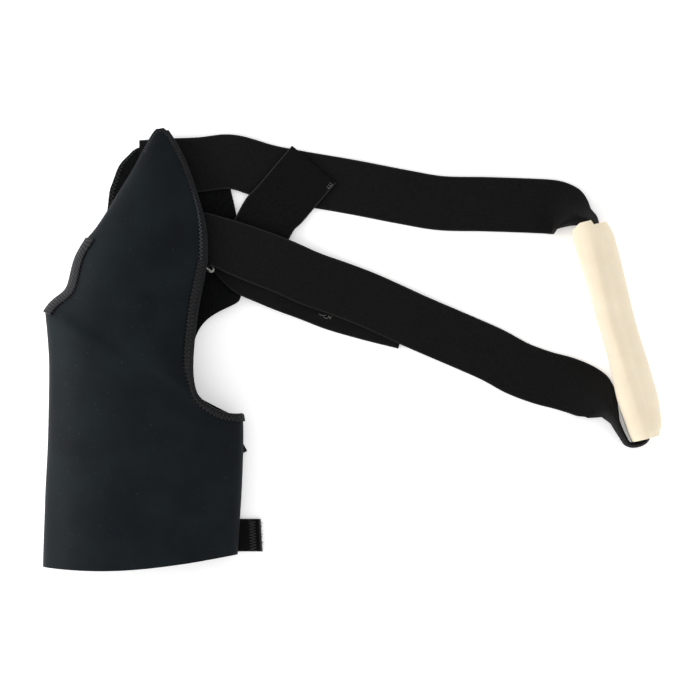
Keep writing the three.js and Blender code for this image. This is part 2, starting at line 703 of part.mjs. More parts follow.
// All stations of the chest strap from the sewn end to the turned end
function strapStations() {
  const stations = [];
  const add = (plan, height, heading, fold) => {
    stations.push({ at: new THREE.Vector3(plan.x, plan.y, height), heading, fold });
  };
  const start = place(...upperStart);
  for (const row of upperRun) {
    const height = strapFloor + wingRise * row.wing + layer * row.level + foldDepth(row.fold);
    add(runPlan(start, padTop, row.run, row.bow), height, row.heading, row.fold);
  }
  for (const row of padRun) {
    const height = strapFloor + (padFloor + clearance) * row.onFloor + foldDepth(row.fold);
    add(padPlan(row.share, row.side), height, row.heading, row.fold);
  }
  const legPlace = padPlan(legShare, legSide);
  const lower = (row) => {
    const height = strapFloor + pileRise * row.pile + layer * row.level + foldDepth(row.fold);
    add(runPlan(ringAt, legPlace, row.run, row.bow), height, row.heading, row.fold);
  };
  lowerRun.forEach(lower);
  for (let k = 0; k <= turnSteps; k += 1) {
    const turn = (90 - (180 * k) / turnSteps) * degrees;
    const plan = runPlan(ringAt, legPlace, 0, mix(...turnBow, k / turnSteps));
    plan.x -= turnRadius * Math.cos(turn);
    add(plan, ringHeight + turnRadius * Math.sin(turn), ringLean - 180, 0);
  }
  returnRun.forEach(lower);
  return stations;
}

const stepsBetween = 2;
const turnSteps = 4;

function strapGeometry() {
  const stations = strapStations();
  const spine = new THREE.CatmullRomCurve3(stations.map((station) => station.at), false, 'centripetal');
  const last = stations.length - 1;
  const count = last * stepsBetween;
  const grid = [];
  for (let i = 0; i <= count; i += 1) {
    const position = i / stepsBetween;
    const before = Math.min(Math.floor(position), last - 1);
    const share = position - before;
    const heading = mix(stations[before].heading, stations[before + 1].heading, share) * degrees;
    const fold = mix(stations[before].fold, stations[before + 1].fold, share);
    const across = new THREE.Vector3(-Math.sin(heading), Math.cos(heading), 0);
    const centre = spine.getPoint(i / count);
    centre.z = Math.max(centre.z, strapFloor + foldDepth(fold));
    const way = spine.getTangent(i / count);
    const up = way.cross(across).normalize();
    up.lerp(new THREE.Vector3(0, 0, 1), Math.min(1, fold / uprightFold)).normalize();
    grid.push(strapSection(centre, across, up, fold));
  }
  return sheetBody(grid, strapThickness);
}

// Tape under the cap's edge, looped round the ring's inner bar
function tapeGeometry() {
  const lean = ringLean * degrees;
  const inner = new THREE.Vector2(-ringDepth, 0);
  const radius = wireRadius + clearance + tapeThickness / 2;
  const half = ringInnerHalf * tapeShare;
  const profile = [[-tapeReach, radius], [-tapeReach / 2, radius], [0, radius]];
  for (let k = 1; k <= tapeArcCells; k += 1) {
    const turn = 90 - (180 * k) / tapeArcCells;
    profile.push([radius * Math.cos(turn * degrees), radius * Math.sin(turn * degrees)]);
  }
  profile.push([-tapeReach / 2, -radius], [-tapeReach, -radius]);
  const grid = [];
  for (const side of [-half, 0, half]) {
    grid.push(profile.map(([x, z]) => {
      const plan = inner.clone().add(new THREE.Vector2(x, side));
      plan.rotateAround(new THREE.Vector2(), lean).add(ringAt);
      return new THREE.Vector3(plan.x, plan.y, ringHeight + z);
    }));
  }
  return sheetBody(grid, tapeThickness);
}

// A flat band from rows of places and headings
function bandGeometry(rows, width, thickness, cellsAcross) {
  const grid = rows.map((row) => {
    const heading = row.heading * degrees;
    const points = [];
    for (let c = 0; c <= cellsAcross; c += 1) {
      const side = width * (0.5 - c / cellsAcross);
      points.push(new THREE.Vector3(
        row.at.x - Math.sin(heading) * side,
        row.at.y + Math.cos(heading) * side,
        row.height,
      ));
    }
    return points;
  });
  return sheetBody(grid.reverse(), thickness);
}

function hookTabGeometry() {
  const base = floorGap + strapThickness + clearance + hookTabThickness / 2;
  const rows = hookTabRows.map((row) => ({
    at: place(...row.at),
    heading: row.heading,
    height: base + wingRise * row.wing,
  }));
  return bandGeometry(rows, hookTabWidth, hookTabThickness, 4);
}

function cuffTabGeometry() {
  const edge = cuffCorners(cuffRows[1]).right;
  const last = cuffTabSteps.length - 1;
  const rows = cuffTabSteps.map((share, i) => ({
    at: new THREE.Vector2(edge.x - cuffTabTuck + cuffTabLength * share, edge.y + cuffTabRise),
    heading: cuffTabHeading,
    height: floorGap + cuffTabThickness / 2 + (i === last ? cuffTabEndLift : 0),
  }));
  return bandGeometry(rows, cuffTabWidth, cuffTabThickness, 3);
}

function patchGeometry() {
  const edge = cuffCorners(cuffRows[5]).right;
  const half = patchSide / 2;
  const turn = patchHeading * degrees;
  const rows = [-half, 0, half].map((reach) => ({
    at: new THREE.Vector2(
      edge.x - patchTuck + reach * Math.cos(turn),
      edge.y + patchRise + reach * Math.sin(turn),
    ),
    heading: patchHeading,
    height: tabRoom - clearance * 2 - patchThickness / 2,
  }));
  return bandGeometry(rows, patchSide, patchThickness, 2);
}

// A point of a rounded section of half-size one: the lower the squareness, the squarer it is
function roundSection(turn, squareness) {
  const x = Math.cos(turn * degrees);
  const y = Math.sin(turn * degrees);
  return {
    x: Math.sign(x) * Math.abs(x) ** squareness,
    y: Math.sign(y) * Math.abs(y) ** squareness,
  };
}

// Foam pad: a roll round the strap whose overlapping lip makes a step along its top
function padGeometry() {
  const outerRows = [];
  const innerRows = [];
  const strapTall = strapWidth / 2 + strapThickness + clearance * 2;
  const middle = (padHeight - lipRise) / 2;
  for (const row of padSections) {
    const centre = padPlan(row.share, row.side);
    const hollowCentre = padPlan(row.share, 0);
    const outer = [];
    const inner = [];
    for (let k = 0; k < padSides; k += 1) {
      const turn = (360 * k) / padSides;
      const onLip = turn > lipFrom && turn < lipTo;
      const lip = onLip ? lipRise * (lipTo - turn) / (lipTo - lipFrom) : 0;
      const wide = (padWidth * row.width - lipRise) / 2 + lip;
      const tall = (padHeight * row.height - lipRise) / 2 + lip;
      const round = roundSection(turn, padSquareness);
      const along = padLength * row.slant * Math.max(0, round.x);
      outer.push(new THREE.Vector3(
        centre.x + padSide.x * wide * round.x + padWay.x * along,
        centre.y + padSide.y * wide * round.x + padWay.y * along,
        Math.max(floorGap, middle + tall * round.y),
      ));
      const hollow = roundSection(turn, hollowSquareness);
      const hollowHalf = (hollowWidth * row.hollow) / 2;
      inner.push(new THREE.Vector3(
        hollowCentre.x + padSide.x * hollowHalf * hollow.x,
        hollowCentre.y + padSide.y * hollowHalf * hollow.x,
        padFloor + (strapTall / 2) * (1 + hollow.y),
      ));
    }
    outerRows.push(outer);
    innerRows.push(inner.reverse());
  }
  const { points, rows } = numbered([...outerRows, ...innerRows]);
  const loops = rows.map((row) => [...row, row[0]]);
  const outerLoops = loops.slice(0, padSections.length);
  const innerLoops = loops.slice(padSections.length);
  const cells = [...cellsBetween(outerLoops), ...cellsBetween(innerLoops)];
  for (const [end, flip] of [[0, false], [padSections.length - 1, true]]) {
    const outer = outerLoops[end];
    const inner = [...innerLoops[end]].reverse();
    for (let k = 0; k < padSides; k += 1) {
      const cell = [outer[k], inner[k], inner[k + 1], outer[k + 1]];
      cells.push(flip ? cell.reverse() : cell);
    }
  }
  return closedBody(points, cells);
}

const brace = new THREE.Group();
brace.add(mesh('sleeve_shell', thicken(sleeve.points, sleeve.cells, neoprene), neopreneCloth));
brace.add(mesh('axilla_binding_left', edgeFold(leftBindingPath(), bindingThickness), bindingTape));
brace.add(mesh('axilla_binding_right', edgeFold(rightBindingPath(), bindingThickness, bindingTrim), bindingTape));
brace.add(mesh('front_edge_band', edgeFold(edgeBandPath(), bindingThickness), bindingTape));
brace.add(mesh('back_wing', sheetBody(wingGrid(), wingThickness), loopCloth));
brace.add(mesh('chest_strap', strapGeometry(), elasticWeb));
brace.add(mesh('strap_ring', ringGeometry(), steel));
brace.add(mesh('ring_tape', tapeGeometry(), bindingTape));
brace.add(mesh('hook_tab', hookTabGeometry(), hookTape));
brace.add(mesh('axilla_pad', padGeometry(), foam));
brace.add(mesh('cuff_tab', cuffTabGeometry(), hookTape));
brace.add(mesh('hook_patch', patchGeometry(), hookTape));

// The origin is the middle of the brace's footprint on the surface
const bounds = new THREE.Box3().setFromObject(brace);
const middle = bounds.getCenter(new THREE.Vector3());
brace.position.set(-middle.x, -middle.y, -bounds.min.z);

export default brace;
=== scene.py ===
"""Dresses the shoulder brace: its neoprene sleeve, elastic strap, hook tapes, foam pad and stitching."""

import math

import bpy
from bpy.props import FloatProperty, PointerProperty
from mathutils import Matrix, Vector, kdtree, noise
from mathutils.bvhtree import BVHTree


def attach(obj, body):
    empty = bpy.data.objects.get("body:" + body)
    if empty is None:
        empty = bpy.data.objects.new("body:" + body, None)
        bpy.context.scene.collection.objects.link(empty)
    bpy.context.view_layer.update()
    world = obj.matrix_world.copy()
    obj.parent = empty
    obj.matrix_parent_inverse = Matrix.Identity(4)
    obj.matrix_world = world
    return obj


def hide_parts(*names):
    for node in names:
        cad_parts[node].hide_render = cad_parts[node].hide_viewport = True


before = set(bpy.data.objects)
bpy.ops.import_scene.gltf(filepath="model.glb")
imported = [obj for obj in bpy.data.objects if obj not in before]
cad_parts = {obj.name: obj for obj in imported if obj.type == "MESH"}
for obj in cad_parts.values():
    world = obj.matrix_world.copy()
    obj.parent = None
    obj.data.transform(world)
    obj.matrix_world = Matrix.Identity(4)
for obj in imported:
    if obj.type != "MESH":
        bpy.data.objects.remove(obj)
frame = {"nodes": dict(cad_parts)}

bl_info = {
    "name": "Shoulder brace looks",
    "version": (1, 0, 0),
    "blender": (4, 5, 0),
    "location": "View3D > Sidebar > Brace",
    "description": "Models the soft goods and the stitching of a shoulder brace over its solids",
    "category": "Object",
}

MM = 0.001

# Where the middle of the brace's footprint lies from the hem's left corner, in millimetres
MIDDLE = (284.07, 202.10)

# Sizes of the solids, in millimetres and in shares of the sleeve's length or the cuff's width
SLEEVE_LENGTH = 406.0
CUFF_WIDTH = 184.0
CUFF_HEIGHT = 46.0
NEOPRENE = 3.5
FOLD_HEIGHT = 14.0
CAP_FOLD_RADIUS = 6.0
LEFT_TOP = 0.58
KNEE_TOP = 0.385
RIGHT_TOP = 0.347
HEM_RISE = 13.8
HEM_BOW = 4.5
HEM_LIFT = 2.4
KNEE_HEM = 0.43
NOTCH_SAG = 5.5
DART_SHARE = 0.35
FLAP_SHARE = 0.42
FOLD_ROUND = 0.5
BINDING_REACH = 7.5
BINDING_WALL = 1.0
SLOPE_REACH = 1.5
BAND_REACH = 3.0
BAND_WIDE_REACH = 6.5
WING_WALL = 3.0
WING_CURL = 7.0
STRAP_WIDTH = 50.0
STRAP_WALL = 2.0
LOOP_REACH = 346.0
WIRE_RADIUS = 1.6
RING_LEAN = 12.0
RING_PLACE = (0.822, 0.7435)
TURN_BOW = (0.001, -0.005)
PILE_GAP = 1.0
TAB_WIDTH = 53.0
TAB_WALL = 1.8
CUFF_TAB_WIDTH = 30.0
CUFF_TAB_LENGTH = 33.0
CUFF_TAB_WALL = 2.4
CUFF_TAB_TUCK = 12.0
CUFF_TAB_RISE = -1.2
PAD_LENGTH = 201.0
PAD_WIDTH = 36.0
PAD_HEIGHT = 38.0
PAD_TILT = 14.5
PAD_FLOOR = 5.2
HOLLOW_WIDTH = 17.6
LIP_RISE = 1.8
LEG_SHARE = 0.805
LEG_SIDE = -0.68
CLEARANCE = 0.4
FLOOR_GAP = 0.1

# Cuff rows from the hem up: rise, left, knee, right, crown
CUFF_ROWS = (
    (0, 0.013, 0.756, 0.971, 0.68),
    (0.14, 0.018, 0.759, 0.977, 0.69),
    (0.28, 0.026, 0.762, 0.983, 0.69),
    (0.42, 0.033, 0.766, 0.988, 0.69),
    (0.56, 0.039, 0.769, 0.992, 0.7),
    (0.7, 0.044, 0.772, 0.995, 0.7),
    (0.84, 0.046, 0.777, 0.998, 0.7),
    (0.955, 0.031, 0.784, 0.998, 0.7),
    (1, 0.022, 0.785, 0.993, 0.7),
)

# Cap rows from the cuff's top edge to the apex: left and right place, right lift, crown, right round
CAP_ROWS = (
    (0.05, 0.5985, 0.759, 0.404, 0.8, 0.43, 0.55),
    (0.092, 0.612, 0.746, 0.442, 0.72, 0.46, 0.62),
    (0.124, 0.623, 0.748, 0.485, 0.63, 0.475, 0.7),
    (0.143, 0.638, 0.757, 0.53, 0.55, 0.48, 0.78),
    (0.154, 0.659, 0.768, 0.576, 0.49, 0.48, 0.84),
    (0.165, 0.6825, 0.785, 0.621, 0.45, 0.47, 0.88),
    (0.182, 0.708, 0.803, 0.658, 0.42, 0.45, 0.9),
    (0.233, 0.744, 0.817, 0.693, 0.405, 0.42, 0.9),
    (0.259, 0.757, 0.819, 0.729, 0.4, 0.385, 0.9),
    (0.3, 0.783, 0.814, 0.766, 0.4, 0.345, 0.9),
    (0.346, 0.816, 0.793, 0.8045, 0.4, 0.3, 0.9),
    (0.389, 0.848, 0.763, 0.852, 0.385, 0.26, 0.9),
    (0.431, 0.878, 0.738, 0.884, 0.36, 0.215, 0.9),
    (0.471, 0.91, 0.711, 0.917, 0.335, 0.17, 0.9),
    (0.508, 0.941, 0.68, 0.946, 0.32, 0.13, 0.9),
    (0.541, 0.967, 0.646, 0.972, 0.31, 0.09, 0.9),
    (0.56, 0.982, 0.622, 0.987, 0.305, 0.05, 0.9),
    (0.577, 0.99, 0.604, 0.993, 0.3, 0.02, 0.9),
)
FOLD_FIRST_ROW = 8
FOLD_LAST_ROW = 15
BINDING_LAST_ROW = 7
BAND_FIRST_ROW = 7
BAND_LAST_ROW = 16
BAND_WIDE_ROWS = (11.5, 9.5)
NEAR_LEFT_CELLS = 12
NEAR_RIGHT_CELLS = 5
ARC_CELLS = 3
FAR_FLAT_CELLS = 5

# Back wing rows from its top down: along, left, right, lift of the right edge
WING_ROWS = (
    (0.954, 0.49, 0.8, 0),
    (0.947, 0.455, 0.865, 0),
    (0.936, 0.43, 0.9, 0),
    (0.911, 0.38, 0.925, 0),
    (0.875, 0.35, 0.935, 0),
    (0.8565, 0.335, 0.94, 0),
    (0.818, 0.325, 0.96, 0),
    (0.777, 0.315, 0.975, 0),
    (0.7206, 0.335, 0.985, 0),
    (0.675, 0.365, 0.995, 0),
    (0.638, 0.4, 1, 0.1),
    (0.617, 0.43, 0.99, 0.45),
    (0.598, 0.465, 0.961, 0.9),
    (0.578, 0.535, 0.87, 0.75),
    (0.557, 0.575, 0.808, 0.4),
    (0.53, 0.625, 0.77, 0.1),
    (0.505, 0.675, 0.75, 0),
)

# Chest strap stations: run, bow, heading, how far it stands on the pile below, layers, fold
UPPER_START = (0.485, 0.906)
UPPER_RUN = (
    (0, 0.001, 1, 1, 0, 0),
    (0.065, 0.0135, 1, 1, 0, 0),
    (0.1306, 0.0245, 4, 1, 0, 0),
    (0.185, 0.038, 1, 1, 0, 0),
    (0.212, 0.0387, -7, 0.97, 0, 0),
    (0.245, 0.0335, -15, 0.55, 0, 0),
    (0.275, 0.0285, -14, 0.2, 0, 0),
    (0.335, 0.024, -10, 0, 0, 0),
    (0.469, 0.0182, -11, 0, 0, 0),
    (0.581, 0.011, -11, 0, 0, 0),
    (0.666, 0.0078, -7, 0, 0, 0),
    (0.767, 0.0183, -2, 0, 0, 0),
    (0.872, 0.028, -2, 0, 0.1, 2),
    (0.912, 0.0305, -7, 0, 0.3, 5),
    (0.943, 0.0265, -30, 0, 0.9, 25),
    (0.966, 0.0155, -60, 0, 2, 56),
)
# Inside the pad and round its lower mouth: share, side, heading, share of the pad's floor, fold
PAD_RUN = (
    (-0.02, -0.045, -75, 1, 72),
    (0.03, -0.02, -75.5, 1, 78),
    (0.12, 0.01, -75.5, 1, 80),
    (0.36, 0, -75.5, 1, 80),
    (0.62, 0, -75.5, 1, 80),
    (0.86, 0, -75.5, 1, 82),
    (0.97, 0, -77, 1, 85),
    (1.002, -0.012, -90, 1, 89),
    (1.0175, -0.22, -164, 0.6, 90),
    (1.008, -0.47, -222, 0.25, 90),
    (0.965, -0.56, -247, 0, 89),
    (0.895, -0.64, -250, 0, 85),
    (0.845, -0.71, -240, 0, 74),
)
LOWER_RUN = (
    (0.978, 0.0055, -214, 0, 0, 50),
    (0.94, 0.006, -201, 0, 0, 22),
    (0.89, 0.0035, -197, 0, 0.1, 5),
    (0.834, -0.0035, -199, 0, 0, 0),
    (0.774, -0.005, -204, 0, 0, 0),
    (0.712, 0.002, -204, 0, 0, 0),
    (0.6, 0.005, -203, 0, 0, 0),
    (0.545, 0.006, -203, 0, 0.6, 0),
    (0.505, 0.007, -203, 0, 1.05, 0),
    (0.45, 0.0095, -202, 0, 1.05, 0),
    (0.388, 0.0115, -202, 0, 1.05, 0),
    (0.314, 0.0095, -202, 0.25, 1.3, 0),
    (0.253, 0.0065, -203, 0.65, 1.5, 0),
    (0.186, 0.0085, -200, 0.9, 1.6, 0),
    (0.116, 0.007, -194, 1, 2, 0),
    (0.05, 0.0042, -181, 1, 2.4, 0),
)
RETURN_RUN = (
    (0.045, -0.018, -179, 1, 0, 0),
    (0.095, -0.028, -188, 1, 0, 0),
    (0.15, -0.0285, -196, 1, 0, 0),
    (0.204, -0.0285, -199, 0.92, 0, 0),
    (0.26, -0.0265, -199, 0.4, 0, 0),
    (0.325, -0.0255, -198, 0.05, 0, 0),
    (0.41, -0.0165, -196, 0, 0, 0),
    (0.4955, -0.0043, -195, 0, 0, 0),
)
TURN_STEPS = 4
STRAP_STEPS = 8
STRAP_CELLS = 12
CREASE_CELLS = 2
CREASE_EASE = 0.88
UPRIGHT_FOLD = 20

# Beside the pad's mouths one half of the strap is folded less, by this share, from this place on
NECK_EASE = 0.45
NECK_FROM = 0.93

# Hook tab from its free end down: across, along, heading, share of the wing's rise
TAB_ROWS = (
    (1.355, 0.9143, -130.6, 0.12),
    (1.275, 0.872, -130.6, 0.25),
    (1.195, 0.829, -129, 0.45),
    (1.14, 0.8035, -124, 0.45),
    (1.1, 0.772, -119, 0.38),
    (1.06, 0.732, -113, 0.36),
    (1.035, 0.693, -106, 0.36),
)

# Pad sections: share of its length, then width, height, side step, hollow, and slant of the right side
PAD_SECTIONS = (
    (0, 1, 0.95, -0.02, 1.5, 0.035),
    (0.02, 1.06, 1, -0.025, 1.42, 0.035),
    (0.09, 1.08, 1, -0.02, 1.15, 0.012),
    (0.16, 1.06, 1, -0.01, 1, 0),
    (0.28, 1.02, 1, 0, 1, 0),
    (0.42, 0.98, 0.98, -0.01, 1, 0),
    (0.56, 0.97, 0.98, 0.02, 1, 0),
    (0.7, 1.03, 1, 0.035, 1, 0),
    (0.82, 1.05, 1, 0.035, 0.98, 0),
    (0.93, 0.98, 1, 0.03, 0.94, -0.01),
    (0.985, 0.9, 0.98, 0.03, 1.08, -0.025),
    (1, 0.86, 0.95, 0.03, 1.24, -0.035),
)

# Stitches at the hook tab's corner and thread ends at the strap's lower edge, in plan
TAB_STITCHES = (
    ((261.0, 351.0), (265.2, 347.6)),
    ((262.4, 352.8), (266.4, 349.4)),
    ((263.8, 354.4), (267.6, 351.2)),
    ((262.0, 348.6), (266.8, 352.6)),
)
LOOSE_THREADS = (
    ((254.0, 233.6), (257.0, 232.4), (260.4, 232.8)),
    ((258.2, 231.2), (260.6, 229.6), (263.0, 230.6), (264.6, 229.0)),
    ((262.4, 232.2), (264.0, 230.8), (266.2, 231.4)),
)

# Stitches of the strips: thread colour, colour towards the apex, and their reach from edge to inner line
STRIP_STITCHES = {
    "binding_left": ("#2e2d30", None, -0.05, 0.95),
    "binding_right": ("#272523", None, 0.1, 0.95),
    "edge_band": ("#43454a", "#2c292a", 0.5, 1.05),
}

# Places along the sleeve, in metres in the row frame, between which the band's thread turns darker
BAND_FADE = (0.134, 0.15)

# Threads: counts, lengths in millimetres, and shares of a thread's radius, a strip or a tab
THREAD_SIDES = 5
SEAM_STEPS = 24
LEG_STEPS = 5
STROKE_SPACING = 3.0
STROKE_LEAN = 1.2
SEAM_SHARE = 1.03
SEAM_THINNER = 0.7
TIP_SEAM = 3.4
TIP_PITCH = 2.8
TIP_REACH = (-0.1, 1)
WING_SEAM = (0.15, 0.9)
SINK = 0.5
LINE_STEP = 0.2
LOOSE_RADIUS = 0.2
THREAD_LIFT = 0.15
CUFF_SEAMS = (0.66, 0.86)
CUFF_SEAM_HALF = 0.47
CUFF_SEAM_LEAN = 0.05
CUFF_SEAM_PITCH = 2.6
FRAY_ENDS = 34
FRAY_HALF = 0.49
FRAY_START = 1.6
FRAY_LEAST = 0.3
FRAY_LENGTH = 2.6
TAB_LIFT = 0.6
STITCH_STEP = 0.6

# Metres from the strips' edges between which the neoprene's relief grows to its full height
CALM_REACH = (0.008, 0.035)

# Shapes of the looks: millimetres, degrees, counts, and shares of a width, a length or a run
EDGE_ROUND = 1.2
RIM_PARTS = 3
BINDING_SHARE = 0.16
KNEE_REACH = 0.6
FOLD_RADIUS_SHARE = 0.2
FLAP_LEAST = 1.5
WING_CELLS = 20
CURL_FROM = 0.45
CUFF_TAB_CELLS = 20
CUFF_TAB_LIFT = 1.2
CUFF_TAB_GAP = 0.15
CUFF_TAB_HEADING = 3
LIFT_FROM = 0.88
UPPER_FREE = (0.4, 0.9)
LOWER_FREE = (0.18, 0.9)
SWELL_LENGTH = 42
SWELL_BASE = 0.35
FLUTTER_LENGTH = 17
FLUTTER = 0.9

# Pad: turns go in degrees from its right side over its top, and places across from -1 at its left to 1
PAD_SIDES = 96
PAD_ROUND = 0.85
HOLLOW_ROUND = 0.33
LIP_EDGE = (76, 98)
LIP_FADE = (212, 108)
LIP_WANDER = 13
PAD_VALLEY = 0.3
VALLEY_AT = 75
VALLEY_WIDTH = 11
PAD_STEP = 0.4
STEP_EDGE = (0.03, 0.15)
PAD_LOBE = 0.022
LOBE_LENGTH = 0.06
LOBE_LEFT = (-1, -0.5)
LOBE_RIGHT = (0.15, 0)

# Camera's sensor in millimetres, then where it looks, the floor and the lamps in metres in the row frame
SENSOR_WIDTH = 36
VIEW_MIDDLE = (-0.0016, -0.0015)
FLOOR_SIZE = 12
FLOOR_DROP = 0.0003
# Lamps: name, place, width, height, power in watts
LAMPS = (
    ("key", (-0.62, 0.0, 0.2), 0.8, 0.28, 3.8),
    ("fill", (1.2, -1.1, 0.9), 1.2, 1.2, 4.5),
)

LAYER = STRAP_WALL + CLEARANCE
STRAP_FLOOR = FLOOR_GAP + STRAP_WALL / 2
WING_RISE = WING_WALL + CLEARANCE
PILE_RISE = WING_RISE + TAB_WALL + PILE_GAP
TURN_RADIUS = WIRE_RADIUS + CLEARANCE + STRAP_WALL / 2
RING_HEIGHT = STRAP_FLOOR + PILE_RISE + TURN_RADIUS
TAB_ROOM = CUFF_TAB_WALL + CLEARANCE + FLOOR_GAP


# Settings


class BraceClothSettings(bpy.types.PropertyGroup):
    """How the neoprene and its stitching look."""

    relief: FloatProperty(
        name="Relief", description="Height of the soft swells of the neoprene", default=0.0006,
        min=0.0, max=0.003, unit="LENGTH", subtype="DISTANCE",
    )
    swell: FloatProperty(
        name="Swell", description="Distance between the swells of the neoprene", default=0.05,
        min=0.01, max=0.2, unit="LENGTH", subtype="DISTANCE",
    )
    pitch: FloatProperty(
        name="Zigzag pitch", description="Distance between two zigzag stitches", default=0.0036,
        min=0.001, max=0.01, unit="LENGTH", subtype="DISTANCE",
    )
    thread: FloatProperty(
        name="Thread", description="Radius of the sewing thread", default=0.00028,
        min=0.0001, max=0.001, unit="LENGTH", subtype="DISTANCE",
    )


class BraceStrapSettings(bpy.types.PropertyGroup):
    """How the elastic strap looks."""

    rib: FloatProperty(
        name="Rib", description="Distance between two ribs of the elastic", default=0.00125,
        min=0.0005, max=0.005, unit="LENGTH", subtype="DISTANCE",
    )
    wave: FloatProperty(
        name="Wave", description="How far the free strap lifts off what it lies on", default=0.0014,
        min=0.0, max=0.006, unit="LENGTH", subtype="DISTANCE",
    )


class BracePadSettings(bpy.types.PropertyGroup):
    """How the foam pad looks."""

    dent: FloatProperty(
        name="Dent", description="Depth of the soft dents in the foam", default=0.0007,
        min=0.0, max=0.004, unit="LENGTH", subtype="DISTANCE",
    )


class BraceStageSettings(bpy.types.PropertyGroup):
    """Camera and light."""

    height: FloatProperty(
        name="Camera height", description="Height of the camera above the surface", default=3.0,
        min=1.0, max=10.0, unit="LENGTH", subtype="DISTANCE",
    )
    view: FloatProperty(
        name="View", description="Width of the surface that the picture shows", default=0.644,
        min=0.2, max=2.0, unit="LENGTH", subtype="DISTANCE",
    )
    glow: FloatProperty(
        name="Floor glow", description="How far the floor lights up its own shadows", default=0.25,
        min=0.0, max=1.0,
    )
    light: FloatProperty(
        name="Light", description="Strength of the soft light from all sides", default=0.9,
        min=0.0, max=5.0,
    )


# Small tools


def mix(start, end, share):
    """The value that share of the way from start to end."""
    return start + (end - start) * share


def smoothstep(value, low, high):
    """Goes smoothly from 0 at low to 1 at high."""
    share = min(1.0, max(0.0, (value - low) / (high - low)))
    return share * share * (3 - 2 * share)


def place(across, along):
    """A place on the surface from shares of the cuff's width and the sleeve's length."""
    return Vector((CUFF_WIDTH * across, SLEEVE_LENGTH * along))


def to_frame(point):
    """A point in millimetres from the hem's left corner, in the row frame in metres."""
    return ((point[0] - MIDDLE[0]) * MM, (point[1] - MIDDLE[1]) * MM, point[2] * MM)


def spline(points, steps):
    """Points on a smooth line through the given ones, with as many steps between each pair."""
    last = len(points) - 1
    before = points[0] * 2 - points[1]
    after = points[last] * 2 - points[last - 1]
    chain = [before, *points, after]
    made = []
    for i in range(last):
        a, b, c, d = chain[i:i + 4]
        gap_1 = max((c - b).length, 1e-6) ** 0.5
        gap_0 = max((b - a).length, 1e-6) ** 0.5
        gap_2 = max((d - c).length, 1e-6) ** 0.5
        out_1 = ((b - a) / gap_0 - (c - a) / (gap_0 + gap_1) + (c - b) / gap_1) * gap_1
        out_2 = ((c - b) / gap_1 - (d - b) / (gap_1 + gap_2) + (d - c) / gap_2) * gap_1
        for k in range(steps + (i == last - 1)):
            t = k / steps
            made.append(
                b + out_1 * t + (c * 3 - b * 3 - out_1 * 2 - out_2) * t ** 2
                + (b * 2 - c * 2 + out_1 + out_2) * t ** 3
            )
    return made


def mixed_rows(rows, steps):
    """A table's rows with smooth rows between them, column by column."""
    return spline([Vector(row) for row in rows], steps)


def cells_between(rows, closed=False):
    """Four-cornered faces between neighbouring rows of point numbers."""
    faces = []
    for low, high in zip(rows, rows[1:]):
        count = min(len(low), len(high))
        for c in range(count if closed else count - 1):
            d = (c + 1) % count
            faces.append((low[c], low[d], high[d], high[c]))
    return faces


def numbered(grid):
    """The grid's points in one list, and the rows of their numbers."""
    points, rows = [], []
    for line in grid:
        rows.append(list(range(len(points), len(points) + len(line))))
        points.extend(line)
    return points, rows


def make_piece(name, points, faces, uvs=None):
    """A mesh object with its origin at the frame's, from points in millimetres."""
    data = bpy.data.meshes.new(name)
    data.from_pydata([to_frame(p) for p in points], [], faces)
    if uvs is not None:
        layer = data.uv_layers.new(name="cloth")
        for loop in data.loops:
            layer.data[loop.index].uv = uvs[loop.vertex_index]
    data.validate()
    piece = bpy.data.objects.new(name, data)
    bpy.context.scene.collection.objects.link(piece)
    return piece


def settle(piece, sharp=40):
    """Applies the piece's modifiers and smooths its shading, with sharp edges kept."""
    bpy.context.view_layer.update()
    graph = bpy.context.evaluated_depsgraph_get()
    data = bpy.data.meshes.new_from_object(piece.evaluated_get(graph))
    piece.modifiers.clear()
    old = piece.data
    piece.data = data
    data.name = piece.name
    bpy.data.meshes.remove(old)
    data.shade_smooth()
    data.set_sharp_from_angle(angle=math.radians(sharp))
    return piece


def rounder(piece, levels):
    """Adds smooth subdivision."""
    change = piece.modifiers.new("round", "SUBSURF")
    change.levels = levels
    change.render_levels = levels
    change.boundary_smooth = "PRESERVE_CORNERS"


def wall(piece, thickness, rim_slot=0, even=True):
    """Gives a middle surface its wall to both sides, even at corners or thinner at tight creases."""
    change = piece.modifiers.new("wall", "SOLIDIFY")
    change.thickness = thickness * MM
    change.offset = 0
    change.use_even_offset = even
    change.thickness_clamp = 0
    change.material_offset_rim = rim_slot


def soften(piece, width, segments=2):
    """Rounds the piece's sharp edges."""
    change = piece.modifiers.new("soften", "BEVEL")
    change.width = width * MM
    change.segments = segments
    change.limit_method = "ANGLE"
    change.angle_limit = math.radians(50)
    change.use_clamp_overlap = True


def relief(piece, height, size, seed, calm=None):
    """Moves each point along its normal by smooth noise, less near the calm points."""
    tree = None
    if calm:
        tree = kdtree.KDTree(len(calm))
        for i, point in enumerate(calm):
            tree.insert(point, i)
        tree.balance()
    data = piece.data
    normals = [v.normal.copy() for v in data.vertices]
    for v, normal in zip(data.vertices, normals):
        amount = height
        if tree:
            amount *= smoothstep(tree.find(v.co)[2], *CALM_REACH)
        if amount:
            v.co += normal * amount * noise.noise(v.co / size + Vector((seed, seed * 0.7, 0)))
    data.update()


def keep_above_floor(piece):
    """Presses flat what would reach below the surface that the brace lies on."""
    for v in piece.data.vertices:
        v.co.z = max(v.co.z, FLOOR_GAP * MM)
    piece.data.update()


def paint(piece, *materials):
    """Puts the materials on the piece, in this order."""
    for material in materials:
        piece.data.materials.append(material)


def seat(piece, slot, *nodes):
    """The piece rides on the brace and stands for these solids. The slot is not used."""
    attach(piece, "root")
    if nodes:
        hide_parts(*nodes)


